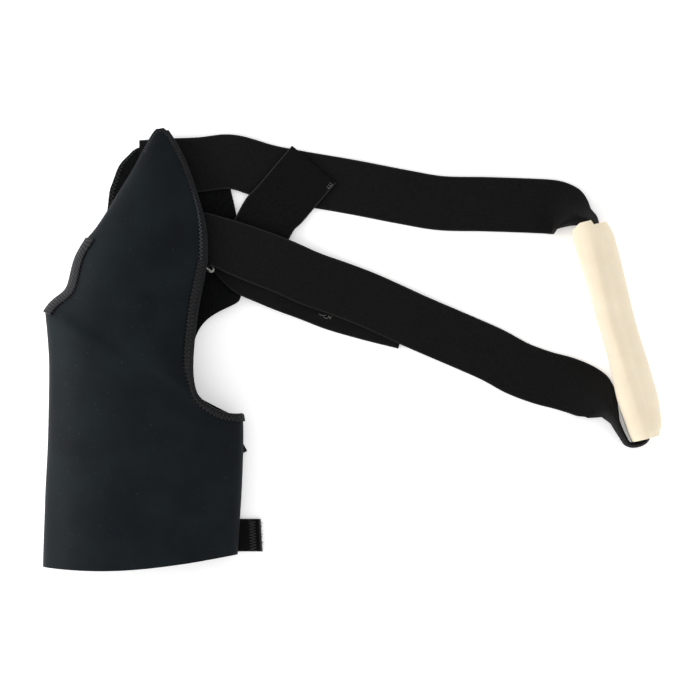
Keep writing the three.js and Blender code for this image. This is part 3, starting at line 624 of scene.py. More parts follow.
def threads(name, lines, radius):
    """One mesh of thin round threads that follow the lines, which are in millimetres."""
    points, faces = [], []
    for line in lines:
        rings = []
        for i, at in enumerate(line):
            way = (line[min(i + 1, len(line) - 1)] - line[max(i - 1, 0)]).normalized()
            side = way.cross(Vector((0, 0, 1)))
            side = side.normalized() if side.length > 1e-4 else Vector((1, 0, 0))
            up = side.cross(way)
            ring = []
            for k in range(THREAD_SIDES):
                angle = 2 * math.pi * k / THREAD_SIDES
                ring.append(len(points))
                points.append(at + (side * math.cos(angle) + up * math.sin(angle)) * radius)
            rings.append(ring)
        faces.extend(cells_between(rings, closed=True))
        faces.append(tuple(reversed(rings[0])))
        faces.append(tuple(rings[-1]))
    piece = make_piece(name, points, faces)
    piece.data.shade_smooth()
    return piece


def sew(name, lines, radius, material, slot):
    """Threads along the lines, painted and seated on the brace."""
    sewn = threads(name, lines, radius)
    paint(sewn, material)
    seat(sewn, slot)


class Drop:
    """Finds the height of the topmost of some pieces under a plan point."""

    def __init__(self, *pieces):
        graph = bpy.context.evaluated_depsgraph_get()
        self.trees = [BVHTree.FromObject(piece, graph) for piece in pieces]

    def at(self, plan, lift):
        """The plan point, lifted off the topmost surface, in millimetres, or None off them all."""
        x, y, _ = to_frame((plan[0], plan[1], 0))
        best = None
        for tree in self.trees:
            hit = tree.ray_cast(Vector((x, y, 0.2)), Vector((0, 0, -1)))[0]
            if hit is not None and (best is None or hit.z > best):
                best = hit.z
        return None if best is None else Vector((plan[0], plan[1], best / MM + lift))


def along_line(line, spacing):
    """Places spaced evenly along a line of plan points."""
    made, left = [line[0].copy()], spacing
    for a, b in zip(line, line[1:]):
        step = (b - a).length
        walked = 0.0
        while step - walked >= left:
            walked += left
            made.append(a.lerp(b, walked / step))
            left = spacing
        left -= step - walked
    return made


def swing(edge, inner, pitch, low, high):
    """Zigzag points between two shares of the way from an edge line to an inner line."""
    edge, inner = spline(edge, SEAM_STEPS), spline(inner, SEAM_STEPS)
    middle = [a.lerp(b, 0.5) for a, b in zip(edge, inner)]
    made, walked, target = [], 0.0, 0.0
    for i in range(len(middle) - 1):
        step = (middle[i + 1] - middle[i]).length
        while step > 1e-9 and target <= walked + step:
            t = (target - walked) / step
            start, end = edge[i].lerp(edge[i + 1], t), inner[i].lerp(inner[i + 1], t)
            made.append(start.lerp(end, low if len(made) % 2 else high))
            target += pitch / 2
        walked += step
    legs = [a.lerp(b, k / LEG_STEPS) for a, b in zip(made, made[1:]) for k in range(LEG_STEPS)]
    return [*legs, made[-1]]


def strokes(edge, inner, spacing, low, high, lean):
    """Separate slanted stitches between two shares of the way from an edge line to an inner line."""
    edge, inner = along_line(spline(edge, SEAM_STEPS), LINE_STEP), spline(inner, SEAM_STEPS)
    made, stride, slant = [], round(spacing / LINE_STEP), round(lean / LINE_STEP)
    last = len(edge) - 1
    for i in range(0, last - slant, stride):
        start, end = edge[i], edge[i + slant]
        start = start.lerp(inner[i * (len(inner) - 1) // last], low)
        end = end.lerp(inner[(i + slant) * (len(inner) - 1) // last], high)
        made.append([start.lerp(end, k / LEG_STEPS) for k in range(LEG_STEPS + 1)])
    return made


def laid_thread(drop, plan, lift):
    """A thread that follows plan points over the surfaces, broken where there are none."""
    lines, line = [], []
    for point in plan:
        found = drop.at(point, lift)
        if found is None:
            if len(line) > 1:
                lines.append(line)
            line = []
        else:
            line.append(found)
    if len(line) > 1:
        lines.append(line)
    return lines


# Materials


def linear(hex_colour):
    """Linear red, green, blue and alpha of an sRGB hex colour."""
    values = [int(hex_colour[i:i + 2], 16) / 255 for i in (1, 3, 5)]
    return (*[v / 12.92 if v <= 0.04045 else ((v + 0.055) / 1.055) ** 2.4 for v in values], 1.0)


def add_node(tree, kind, links=None, **values):
    """A node with its properties and unlinked inputs set, and its inputs linked."""
    node = tree.nodes.new(kind)
    for key, value in values.items():
        if key.startswith("in_"):
            node.inputs[int(key[3:])].default_value = value
        else:
            setattr(node, key, value)
    for socket, source in (links or {}).items():
        tree.links.new(source, node.inputs[socket])
    return node


def new_material(name, roughness, specular, sheen=0.0, sheen_roughness=0.5, metallic=0.0):
    """A material with its plain values set. Returns it, its tree and its shader."""
    material = bpy.data.materials.new(name)
    material.use_nodes = True
    tree = material.node_tree
    shader = tree.nodes["Principled BSDF"]
    shader.inputs["Roughness"].default_value = roughness
    shader.inputs["Specular IOR Level"].default_value = specular
    shader.inputs["Sheen Weight"].default_value = sheen
    shader.inputs["Sheen Roughness"].default_value = sheen_roughness
    shader.inputs["Metallic"].default_value = metallic
    return material, tree, shader


def object_point(tree):
    """The object coordinates."""
    return add_node(tree, "ShaderNodeTexCoord").outputs["Object"]


def noise_of(tree, point, scale, detail=2.0, roughness=0.5):
    """Noise with scale in features per metre."""
    node = add_node(tree, "ShaderNodeTexNoise", {"Vector": point})
    node.inputs["Scale"].default_value = scale
    node.inputs["Detail"].default_value = detail
    node.inputs["Roughness"].default_value = roughness
    return node.outputs["Fac"]


def blend_colours(tree, factor, first, second):
    """A colour between two, by the factor."""
    node = add_node(tree, "ShaderNodeMix", data_type="RGBA")
    tree.links.new(factor, node.inputs[0])
    for socket, colour in ((node.inputs[6], first), (node.inputs[7], second)):
        if isinstance(colour, tuple):
            socket.default_value = colour
        else:
            tree.links.new(colour, socket)
    return node.outputs[2]


def maths(tree, operation, first, second=0.0):
    """A math node's value."""
    node = add_node(tree, "ShaderNodeMath", operation=operation)
    for socket, value in zip(node.inputs, (first, second)):
        if isinstance(value, (int, float)):
            socket.default_value = value
        else:
            tree.links.new(value, socket)
    return node.outputs[0]


def remap(tree, value, low, high):
    """Goes from 0 where the value is low to 1 where it is high."""
    return add_node(tree, "ShaderNodeMapRange", {0: value}, in_1=low, in_2=high).outputs[0]


def bump(tree, shader, height, distance, strength):
    """Bumps the shader by a height, with its depth in metres."""
    node = add_node(tree, "ShaderNodeBump", {"Height": height})
    node.inputs["Strength"].default_value = strength
    node.inputs["Distance"].default_value = distance
    tree.links.new(node.outputs["Normal"], shader.inputs["Normal"])


def neoprene_material():
    """Nylon jersey on neoprene: blue-black, matt, with a fine knit."""
    material, tree, shader = new_material("neoprene jersey", 0.66, 0.07, sheen=0.02, sheen_roughness=0.45)
    point = object_point(tree)
    broad = noise_of(tree, point, 28, 3)
    fine = noise_of(tree, point, 900, 2)
    colour = blend_colours(tree, remap(tree, broad, 0.35, 0.65), linear("#0d1115"), linear("#11171a"))
    speck = remap(tree, noise_of(tree, point, 420, 1), 0.74, 0.8)
    tree.links.new(
        blend_colours(tree, maths(tree, "MULTIPLY", speck, 0.35), colour, linear("#3c4449")),
        shader.inputs["Base Color"],
    )
    bump(tree, shader, fine, 0.0002, 0.6)
    return material


def core_material():
    """Cut edge of the neoprene: the black foam between the jersey faces."""
    material, tree, shader = new_material("neoprene core", 0.8, 0.1)
    shader.inputs["Base Color"].default_value = linear("#0c0d0e")
    bump(tree, shader, noise_of(tree, object_point(tree), 1500, 2), 0.0003, 0.7)
    return material


def binding_material():
    """Folded elastic binding tape: dull grey-black, finely ribbed."""
    material, tree, shader = new_material("binding tape", 0.8, 0.08, sheen=0.06)
    point = object_point(tree)
    grain = noise_of(tree, point, 700, 3)
    tree.links.new(
        blend_colours(tree, remap(tree, grain, 0.35, 0.65), linear("#101112"), linear("#1d1e20")),
        shader.inputs["Base Color"],
    )
    bump(tree, shader, grain, 0.0003, 0.8)
    return material


def elastic_material(rib):
    """Woven elastic: ribs along the strap with a fine cross weave, and a painted highlight along both
    edges.
    """
    material, tree, shader = new_material("woven elastic", 0.8, 0.05, sheen=0.03)
    uv = add_node(tree, "ShaderNodeUVMap", uv_map="cloth").outputs["UV"]
    parts = add_node(tree, "ShaderNodeSeparateXYZ", {0: uv})
    across, along = parts.outputs[0], parts.outputs[1]
    rib_wave = maths(tree, "SINE", maths(tree, "MULTIPLY", across, 2 * math.pi / rib))
    weft_wave = maths(tree, "SINE", maths(tree, "MULTIPLY", along, 2 * math.pi / (rib * 0.8)))
    weft = maths(tree, "MULTIPLY", weft_wave, 0.35)
    weave = maths(tree, "MULTIPLY", maths(tree, "ADD", weft, rib_wave), 0.5)
    fuzz = noise_of(tree, object_point(tree), 600, 3, 0.6)
    shade = maths(tree, "ADD", maths(tree, "MULTIPLY", weave, 0.3), fuzz)
    colour = blend_colours(tree, remap(tree, shade, 0.2, 0.85), linear("#0a0a0a"), linear("#181818"))
    # Painted highlight: the colour turns lighter within 1.6 mm of both strap edges, where light catches
    # the edges.
    edge = maths(tree, "ABSOLUTE", across)
    rim = remap(tree, edge, STRAP_WIDTH / 2 * MM - 0.0016, STRAP_WIDTH / 2 * MM - 0.0006)
    tree.links.new(
        blend_colours(tree, maths(tree, "MULTIPLY", rim, 0.5), colour, linear("#2c2c2c")),
        shader.inputs["Base Color"],
    )
    bump(tree, shader, maths(tree, "ADD", weave, maths(tree, "MULTIPLY", fuzz, 0.8)), 0.0003, 0.8)
    return material


def loop_material():
    """Loop cloth of the back wing: napped nylon that hooks hold to."""
    material, tree, shader = new_material("loop cloth", 0.95, 0.02, sheen=0.02, sheen_roughness=0.7)
    point = object_point(tree)
    nap = noise_of(tree, point, 520, 4, 0.65)
    tree.links.new(
        blend_colours(tree, remap(tree, nap, 0.35, 0.7), linear("#040404"), linear("#0e0f10")),
        shader.inputs["Base Color"],
    )
    bump(tree, shader, nap, 0.0008, 0.9)
    return material


def hook_material(width):
    """Hook tape: woven nylon back, with paler cut edges."""
    material, tree, shader = new_material(f"hook tape {width:g}", 0.75, 0.05, sheen=0.02)
    uv = add_node(tree, "ShaderNodeUVMap", uv_map="cloth").outputs["UV"]
    across = add_node(tree, "ShaderNodeSeparateXYZ", {0: uv}).outputs[0]
    grain = noise_of(tree, object_point(tree), 800, 3)
    colour = blend_colours(tree, remap(tree, grain, 0.35, 0.65), linear("#070707"), linear("#101010"))
    rim = remap(tree, maths(tree, "ABSOLUTE", across), width / 2 * MM - 0.0013, width / 2 * MM - 0.0004)
    tree.links.new(
        blend_colours(tree, maths(tree, "MULTIPLY", rim, 0.7), colour, linear("#343434")),
        shader.inputs["Base Color"],
    )
    bump(tree, shader, grain, 0.0002, 0.7)
    return material


def foam_material():
    """Open-cell foam, cream, with a skin that is slightly mottled."""
    material, tree, shader = new_material("cream foam", 0.9, 0.1, sheen=0.1)
    shader.inputs["Subsurface Weight"].default_value = 0.25
    shader.inputs["Subsurface Radius"].default_value = (0.006, 0.004, 0.002)
    point = object_point(tree)
    mottle = noise_of(tree, point, 45, 3)
    colour = blend_colours(tree, remap(tree, mottle, 0.3, 0.7), linear("#eee1c9"), linear("#e9dbc2"))
    tree.links.new(colour, shader.inputs["Base Color"])
    cells = add_node(tree, "ShaderNodeTexVoronoi", {"Vector": point})
    cells.inputs["Scale"].default_value = 900
    bump(tree, shader, cells.outputs["Distance"], 0.0003, 0.35)
    return material


def thread_material(name, colour, upper=None, low=0.0, high=1.0):
    """Sewing thread in one colour, or turning to another one between two places along the sleeve."""
    material, tree, shader = new_material(name, 0.7, 0.2, sheen=0.1)
    shader.inputs["Base Color"].default_value = linear(colour)
    if upper:
        along = add_node(tree, "ShaderNodeSeparateXYZ", {0: object_point(tree)}).outputs[1]
        shade = blend_colours(tree, remap(tree, along, low, high), linear(colour), linear(upper))
        tree.links.new(shade, shader.inputs["Base Color"])
    return material


def steel_material():
    """Nickel-plated steel wire."""
    material, tree, shader = new_material("plated steel", 0.3, 0.5, metallic=1.0)
    shader.inputs["Base Color"].default_value = linear("#8f8f8c")
    return material


# Sleeve


def left_columns(width):
    """Distances along the near side from the left edge to the knee column."""
    reach = min(BINDING_REACH, width * BINDING_SHARE)
    inner = NEAR_LEFT_CELLS - 3
    return [0, reach / RIM_PARTS, *[mix(reach, width - reach, k / inner) for k in range(inner + 1)], width]


def right_columns(width):
    """Distances along the near side from the knee column to the right edge."""
    reach = min(BINDING_REACH, width * BINDING_SHARE)
    columns = [(width - reach) * k / (NEAR_RIGHT_CELLS - 2) for k in range(1, NEAR_RIGHT_CELLS - 1)]
    return [*columns, width - reach / RIM_PARTS, width]


def dome(share, left_round, right_round):
    """Height of the domed near side: round at the left fold, falling to the right edge."""
    if share < DART_SHARE:
        return (1 - (1 - share / DART_SHARE) ** 2) ** left_round
    fall = (share - DART_SHARE) / (1 - DART_SHARE)
    return max(0.0, 1 - fall ** 2) ** right_round


def cuff_corners(row):
    """Left, knee and right plan points of a cuff row."""
    rise, left, knee, right, _ = row
    knee_hem = mix(HEM_LIFT, HEM_RISE, KNEE_HEM)
    return (
        Vector((CUFF_WIDTH * left, mix(HEM_LIFT, SLEEVE_LENGTH * LEFT_TOP, rise))),
        Vector((CUFF_WIDTH * knee, mix(knee_hem, SLEEVE_LENGTH * KNEE_TOP, rise))),
        Vector((CUFF_WIDTH * right, mix(HEM_RISE, SLEEVE_LENGTH * RIGHT_TOP, rise))),
    )


def cuff_plan(row, distance):
    """Plan point of the near side at a distance from the left fold."""
    left, knee, right = cuff_corners(row)
    first, second = (knee - left).length, (right - knee).length
    if distance <= first:
        share = distance / first
        plan = left.lerp(knee, share)
        plan.y -= HEM_BOW * (1 - row[0]) * math.sin(math.pi * share)
        return plan
    share = min(1.0, (distance - first) / second)
    plan = knee.lerp(right, share)
    plan.y -= NOTCH_SAG * row[0] ** 4 * math.sin(math.pi * share)
    return plan


def cuff_loop(row):
    """One closed loop of the cuff: the near side left to right, then the far side back."""
    left, knee, right = cuff_corners(row)
    first = (knee - left).length
    total = first + (right - knee).length
    loop = []
    for distance in [*left_columns(first), *[d + first for d in right_columns(total - first)]]:
        plan = cuff_plan(row, distance)
        height = FOLD_HEIGHT + CUFF_HEIGHT * row[4] * dome(distance / total, FOLD_ROUND, FOLD_ROUND)
        loop.append(Vector((plan.x, plan.y, height)))
    under_right = NEOPRENE / 2 + TAB_ROOM
    radius_right = FOLD_HEIGHT - under_right
    radius_left = FOLD_HEIGHT - NEOPRENE / 2
    for k in range(1, ARC_CELLS + 1):
        turn = math.pi / 2 * k / ARC_CELLS
        plan = cuff_plan(row, total - radius_right * (1 - math.cos(turn)))
        loop.append(Vector((plan.x, plan.y, FOLD_HEIGHT - radius_right * math.sin(turn))))
    for k in range(1, FAR_FLAT_CELLS):
        share = k / FAR_FLAT_CELLS
        plan = cuff_plan(row, mix(total - radius_right, radius_left, share))
        height = mix(under_right, NEOPRENE / 2, smoothstep(share, 0, 0.5))
        loop.append(Vector((plan.x, plan.y, height)))
    for k in range(ARC_CELLS, 0, -1):
        turn = math.pi / 2 * k / ARC_CELLS
        plan = cuff_plan(row, radius_left * (1 - math.cos(turn)))
        loop.append(Vector((plan.x, plan.y, FOLD_HEIGHT - radius_left * math.sin(turn))))
    return loop


def cap_row(row):
    """One open row of the cap from its left edge to its right edge."""
    left, right = place(row[0], row[1]), place(row[2], row[3])
    width = (right - left).length
    points = []
    for distance in left_columns(width):
        share = distance / width
        plan = left.lerp(right, share)
        base = mix(FOLD_HEIGHT, CUFF_HEIGHT * row[4], share)
        height = base + CUFF_HEIGHT * row[5] * dome(share, FOLD_ROUND, row[6])
        points.append(Vector((plan.x, plan.y, height)))
    return points


def flap_row(row):
    """The cap's cloth that is folded under, beside one row, from the fold inwards."""
    left, right = place(row[0], row[1]), place(row[2], row[3])
    width = (right - left).length
    radius = min(CAP_FOLD_RADIUS, width * FOLD_RADIUS_SHARE)
    reach = max(width * FLAP_SHARE, radius * FLAP_LEAST)
    steps = []
    for k in range(1, ARC_CELLS + 1):
        turn = math.pi / 2 * k / ARC_CELLS
        steps.append((radius * (1 - math.cos(turn)), FOLD_HEIGHT - radius * math.sin(turn)))
    steps.append((mix(radius, reach, 0.5), FOLD_HEIGHT - radius))
    steps.append((reach, FOLD_HEIGHT - radius))
    return [Vector((*left.lerp(right, distance / width), height)) for distance, height in steps]


def sleeve_surface():
    """Middle surface of the sleeve: its points, faces, cuff rows and cap rows."""
    points = []

    def number(line):
        points.extend(line)
        return list(range(len(points) - len(line), len(points)))

    cuff = [number(cuff_loop(row)) for row in CUFF_ROWS]
    faces = cells_between([[*loop, loop[0]] for loop in cuff])
    cap = [cuff[-1][:NEAR_LEFT_CELLS + 1], *[number(cap_row(row)) for row in CAP_ROWS]]
    faces += cells_between(cap)
    flap = []
    for r in range(FOLD_FIRST_ROW, FOLD_LAST_ROW + 1):
        flap.append([cap[r + 1][0], *number(flap_row(CAP_ROWS[r]))][::-1])
    faces += cells_between(flap)
    return points, faces, cuff, cap


def surface_normals(points, faces):
    """Unit normals of a middle surface's points."""
    normals = [Vector() for _ in points]
    for a, b, c, d in faces:
        facing = (points[c] - points[a]).cross(points[d] - points[b])
        for corner in (a, b, c, d):
            normals[corner] += facing
    return [n.normalized() for n in normals]


def edge_fold(points, normals, path, thickness):
    """Grid of a strip that is folded round an open edge."""
    offset = NEOPRENE / 2 + CLEARANCE + thickness / 2
    grid = []
    for edge, inward, reach in path:
        rim, normal = points[edge], normals[edge]
        chain = [(points[n], normals[n]) for n in inward]
        if reach is not None:
            share = min(1.0, reach / (chain[0][0] - rim).length)
            chain[0] = (rim.lerp(chain[0][0], share), normal.lerp(chain[0][1], share).normalized())
        outward = (rim - chain[0][0]).normalized() * (CLEARANCE + thickness) * EDGE_ROUND
        over = [p + n * offset for p, n in reversed(chain)]
        under = [p - n * offset for p, n in chain]
        slope = []
        for angle in (-60, 0, 60):
            turn = math.radians(angle)
            slope.append(rim + outward * math.cos(turn) - normal * offset * math.sin(turn))
        grid.append([*over, rim + normal * offset, *slope, rim - normal * offset, *under])
    return grid


def flat_lines(points, path):
    """Edge line and inner line of a strip, in plan."""
    edge, inner = [], []
    for number, inward, reach in path:
        rim, end = points[number], points[inward[-1]]
        if reach is not None:
            share = min(1.0, reach / (points[inward[0]] - rim).length)
            end = rim.lerp(points[inward[0]], share)
        edge.append(rim.to_2d())
        inner.append(end.to_2d())
    return edge, inner


def binding_paths(cuff, cap):
    """Paths of the left binding, the right binding and the band: edge point, points inwards, reach."""
    knee, last = NEAR_LEFT_CELLS, NEAR_LEFT_CELLS + NEAR_RIGHT_CELLS
    left = [(cap[r][0], [cap[r][1], cap[r][2]], None) for r in range(BINDING_LAST_ROW + 2)]
    right = [(cuff[-1][c], [cuff[-2][c]], None) for c in range(last, knee, -1)]
    right.append((cuff[-1][knee], [cuff[-2][knee - 1]], BINDING_REACH * KNEE_REACH))
    for r in range(1, BINDING_LAST_ROW + 2):
        reach = BINDING_REACH * (KNEE_REACH if r == 1 else SLOPE_REACH)
        right.append((cap[r][knee], [cap[r][knee - 1]], reach))
    band = []
    for r in range(BAND_FIRST_ROW + 1, BAND_LAST_ROW + 2):
        wide = smoothstep(r, *BAND_WIDE_ROWS)
        band.append((cap[r][knee], [cap[r][knee - 1]], mix(BAND_REACH, BAND_WIDE_REACH, wide)))
    return left, right, band


def strip_piece(name, grid, thickness):
    """A folded strip from its coarse grid."""
    points, rows = numbered(grid)
    piece = make_piece(name, points, cells_between(rows))
    rounder(piece, 2)
    wall(piece, thickness)
    soften(piece, 0.25)
    return settle(piece)


def strip_stitches(piece, drop, edge, inner, settings):
    """Stitches of one strip: slanted strokes with a dark line on the left binding, partly its seam and
    partly painted shade of the binding's inner edge; a zigzag elsewhere.
    """
    colour, upper, low, high = STRIP_STITCHES[piece.name]
    radius, lines = settings.thread / MM, []
    if piece.name == "binding_left":
        for plan in strokes(edge, inner, STROKE_SPACING, low, high, STROKE_LEAN):
            lines += laid_thread(drop, plan, radius * SINK)
        # Near-black line just past the binding's inner edge: partly the seam, partly painted shade cast by
        # the binding's raised edge.
        seam = [a.lerp(b, SEAM_SHARE) for a, b in zip(spline(edge, SEAM_STEPS), spline(inner, SEAM_STEPS))]
        seam_and_shade_thread, laid = thread_material("seam thread with painted shade", "#08080a"), laid_thread(drop, seam, 0.0)
        sew("binding_left_seam_and_shade", laid, radius * SEAM_THINNER, seam_and_shade_thread, "binding")
    else:
        lines = laid_thread(drop, swing(edge, inner, settings.pitch / MM, low, high), radius * SINK)
    material = thread_material(f"{piece.name} thread", colour, upper, *BAND_FADE)
    sew(f"{piece.name}_stitches", lines, radius, material, "binding")


def tip_overlock(drop, points, cap, radius):
    """Overlock stitches round the cap's apex."""
    tip = [points[row[0]].to_2d() for row in cap[-4:]]
    tip += [points[row[-1]].to_2d() for row in cap[:-6:-1]]
    heart = points[cap[-5][NEAR_LEFT_CELLS // 2]].to_2d()
    inner = [point + (heart - point).normalized() * TIP_SEAM for point in tip]
    lines = laid_thread(drop, swing(tip, inner, TIP_PITCH, *TIP_REACH), radius * SINK)
    sew("tip_overlock", lines, radius, thread_material("overlock thread", "#1a1719"), "binding")


# Back wing and tapes


def wing_grid():
    """Rows of the back wing, flat on the surface, with a curled lower right edge."""
    grid = []
    for along, left, right, lift in mixed_rows(WING_ROWS, 3):
        line = []
        for c in range(WING_CELLS + 1):
            share = c / WING_CELLS
            plan = place(mix(left, right, share), along)
            curl = WING_CURL * max(0.0, lift) * smoothstep(share, CURL_FROM, 1)
            line.append(Vector((plan.x, plan.y, FLOOR_GAP + WING_WALL / 2 + curl)))
        grid.append(line)
    return grid[::-1]


def band_grid(rows, width, cells):
    """Rows and cloth coordinates of a flat tape from places, headings and heights."""
    grid, uvs, walked = [], [], 0.0
    for i, (plan, heading, height) in enumerate(rows):
        if i:
            walked += (plan - rows[i - 1][0]).length * MM
        angle = math.radians(heading)
        line = []
        for c in range(cells + 1):
            side = width * (0.5 - c / cells)
            edge = plan + Vector((-math.sin(angle), math.cos(angle))) * side
            line.append(Vector((edge.x, edge.y, height)))
            uvs.append((side * MM, walked))
        grid.append(line)
    return grid, uvs


def tape_piece(name, rows, width, thickness, cells):
    """A flat tape with cloth coordinates."""
    grid, uvs = band_grid(rows, width, cells)
    points, numbers = numbered(grid)
    faces = [tuple(reversed(face)) for face in cells_between(numbers)]
    piece = make_piece(name, points, faces, uvs)
    wall(piece, thickness)
    soften(piece, 0.3)
    return piece


def tab_rows():
    """Places, headings and heights of the hook tab."""
    base = FLOOR_GAP + STRAP_WALL + CLEARANCE + TAB_WALL / 2
    rows = []
    for across, along, heading, wing in mixed_rows(TAB_ROWS, 6):
        rows.append((place(across, along), heading, base + WING_RISE * wing))
    return rows


def cuff_tab_base():
    """Plan point where the cuff tab's middle line starts, under the cuff."""
    edge = cuff_corners(CUFF_ROWS[1])[2]
    return Vector((edge.x - CUFF_TAB_TUCK, edge.y + CUFF_TAB_RISE))


def cuff_tab_rows():
    """Places, headings and heights of the cuff's closing tab."""
    base, rows = cuff_tab_base(), []
    for k in range(CUFF_TAB_CELLS + 1):
        share = k / CUFF_TAB_CELLS
        plan = base + Vector((CUFF_TAB_LENGTH * share, 0))
        lift = CUFF_TAB_LIFT * smoothstep(share, LIFT_FROM, 1)
        rows.append((plan, CUFF_TAB_HEADING, FLOOR_GAP + CUFF_TAB_WALL / 2 + lift))
    return rows


def cuff_tab_stitches(drop, radius):
    """Dense zigzag across the cuff tab, near its end."""
    base, seams = cuff_tab_base(), []
    half = CUFF_TAB_WIDTH * CUFF_SEAM_HALF
    for share in CUFF_SEAMS:
        seam = []
        for side in (-half, 0, half):
            seam.append(base + Vector((CUFF_TAB_LENGTH * share - side * CUFF_SEAM_LEAN, side)))
        seams.append(seam)
    lines = laid_thread(drop, swing(*seams, CUFF_SEAM_PITCH, 0, 1), radius * TAB_LIFT)
    sew("cuff_tab_stitches", lines, radius, thread_material("bar thread", "#343436"), "hook_tape")


def cuff_tab_fray(radius):
    """Short loose ends along the cuff tab's cut end."""
    base, fray = cuff_tab_base(), []
    top, end = CUFF_TAB_WALL + CUFF_TAB_LIFT + CUFF_TAB_GAP, base.x + CUFF_TAB_LENGTH
    for k in range(FRAY_ENDS):
        side = mix(-FRAY_HALF, FRAY_HALF, k / (FRAY_ENDS - 1)) * CUFF_TAB_WIDTH
        length = FRAY_LEAST + FRAY_LENGTH * abs(noise.noise(Vector((k * 0.83, 1.7, 0.4))))
        sway = noise.noise(Vector((k * 0.61, 5.2, 2.8)))
        start = Vector((end - side * CUFF_SEAM_LEAN - FRAY_START, base.y + side, top))
        middle = start + Vector((FRAY_START, sway * 0.4, 0.1))
        fray.append([start, middle, start + Vector((FRAY_START + length, sway, -0.9))])
    sew("cuff_tab_fray", fray, radius, thread_material("frayed thread", "#383838"), "hook_tape")


def corner_stitches(drop, radius):
    """Hand stitches at the hook tab's corner."""
    lines = []
    for ends in TAB_STITCHES:
        plan = along_line([Vector(end) for end in ends], STITCH_STEP)
        lines += laid_thread(drop, plan, radius * TAB_LIFT)
    sew("tab_stitches", lines, radius, thread_material("tab thread", "#504f4d"), "hook_tape")


# Chest strap

RING_AT = place(*RING_PLACE)
PAD_TOP = place(0.855, 0.775) + Vector((LOOP_REACH, 0))
PAD_WAY = Vector((math.sin(math.radians(PAD_TILT)), -math.cos(math.radians(PAD_TILT))))
PAD_SIDE = Vector((-PAD_WAY.y, PAD_WAY.x))


def pad_plan(share, side):
    """Plan point from shares of the pad's length and width."""
    return PAD_TOP + PAD_WAY * PAD_LENGTH * share + PAD_SIDE * PAD_WIDTH * side


def run_plan(start, end, run, bow):
    """A point of a run between two places, with its bow to the left of the way."""
    way = end - start
    return start + way * run + Vector((-way.y, way.x)) * bow


def fold_depth(fold):
    """How far the strap's edges lie below its middle line when it is folded."""
    angle, flat_cells = math.radians(fold), STRAP_CELLS // 2 - CREASE_CELLS
    depth = CREASE_CELLS * math.sin(angle * CREASE_EASE) + flat_cells * math.sin(angle)
    return STRAP_WIDTH / STRAP_CELLS * depth


def strap_stations():
    """Place, heading, fold, freedom to wave and ease of the strap from its sewn end to its turned end."""
    stations = []

    def add(plan, height, heading, fold, free, ease=0.0):
        stations.append((Vector((plan.x, plan.y, height)), heading, fold, free, ease))

    start = place(*UPPER_START)
    for run, bow, heading, wing, level, fold in UPPER_RUN:
        height = STRAP_FLOOR + WING_RISE * wing + LAYER * level + fold_depth(fold)
        free, ease = UPPER_FREE[0] < run < UPPER_FREE[1], NECK_EASE * (run > NECK_FROM)
        add(run_plan(start, PAD_TOP, run, bow), height, heading, fold, free, ease)
    for share, side, heading, on_floor, fold in PAD_RUN:
        height = STRAP_FLOOR + (PAD_FLOOR + CLEARANCE) * on_floor + fold_depth(fold)
        add(pad_plan(share, side), height, heading, fold, 0)
    leg = pad_plan(LEG_SHARE, LEG_SIDE)
    for run, bow, heading, pile, level, fold in LOWER_RUN:
        height = STRAP_FLOOR + PILE_RISE * pile + LAYER * level + fold_depth(fold)
        free, ease = LOWER_FREE[0] < run < LOWER_FREE[1], -NECK_EASE * (run > NECK_FROM)
        add(run_plan(RING_AT, leg, run, bow), height, heading, fold, free, ease)
    for k in range(TURN_STEPS + 1):
        angle = math.radians(90 - 180 * k / TURN_STEPS)
        plan = run_plan(RING_AT, leg, 0, mix(*TURN_BOW, k / TURN_STEPS))
        plan.x -= TURN_RADIUS * math.cos(angle)
        add(plan, RING_HEIGHT + TURN_RADIUS * math.sin(angle), RING_LEAN - 180, 0, 0)
    for run, bow, heading, pile, level, fold in RETURN_RUN:
        height = STRAP_FLOOR + PILE_RISE * pile + LAYER * level + fold_depth(fold)
        add(run_plan(RING_AT, leg, run, bow), height, heading, fold, 0)
    return stations


def strap_section(centre, across, up, fold, ease):
    """Points across the strap: flat, or creased along its middle with its halves turned down."""
    step, half = STRAP_WIDTH / STRAP_CELLS, STRAP_CELLS // 2
    sides = []
    for side in (-1, 1):
        at, chain = centre.copy(), []
        for k in range(half):
            crease = CREASE_EASE if k < CREASE_CELLS else 1
            turn = math.radians(fold * crease * (1 - max(0.0, -side * ease)))
            at = at + across * side * step * math.cos(turn) - up * step * math.sin(turn)
            chain.append(at)
        sides.append(chain)
    return [*sides[0][::-1], centre, *sides[1]]


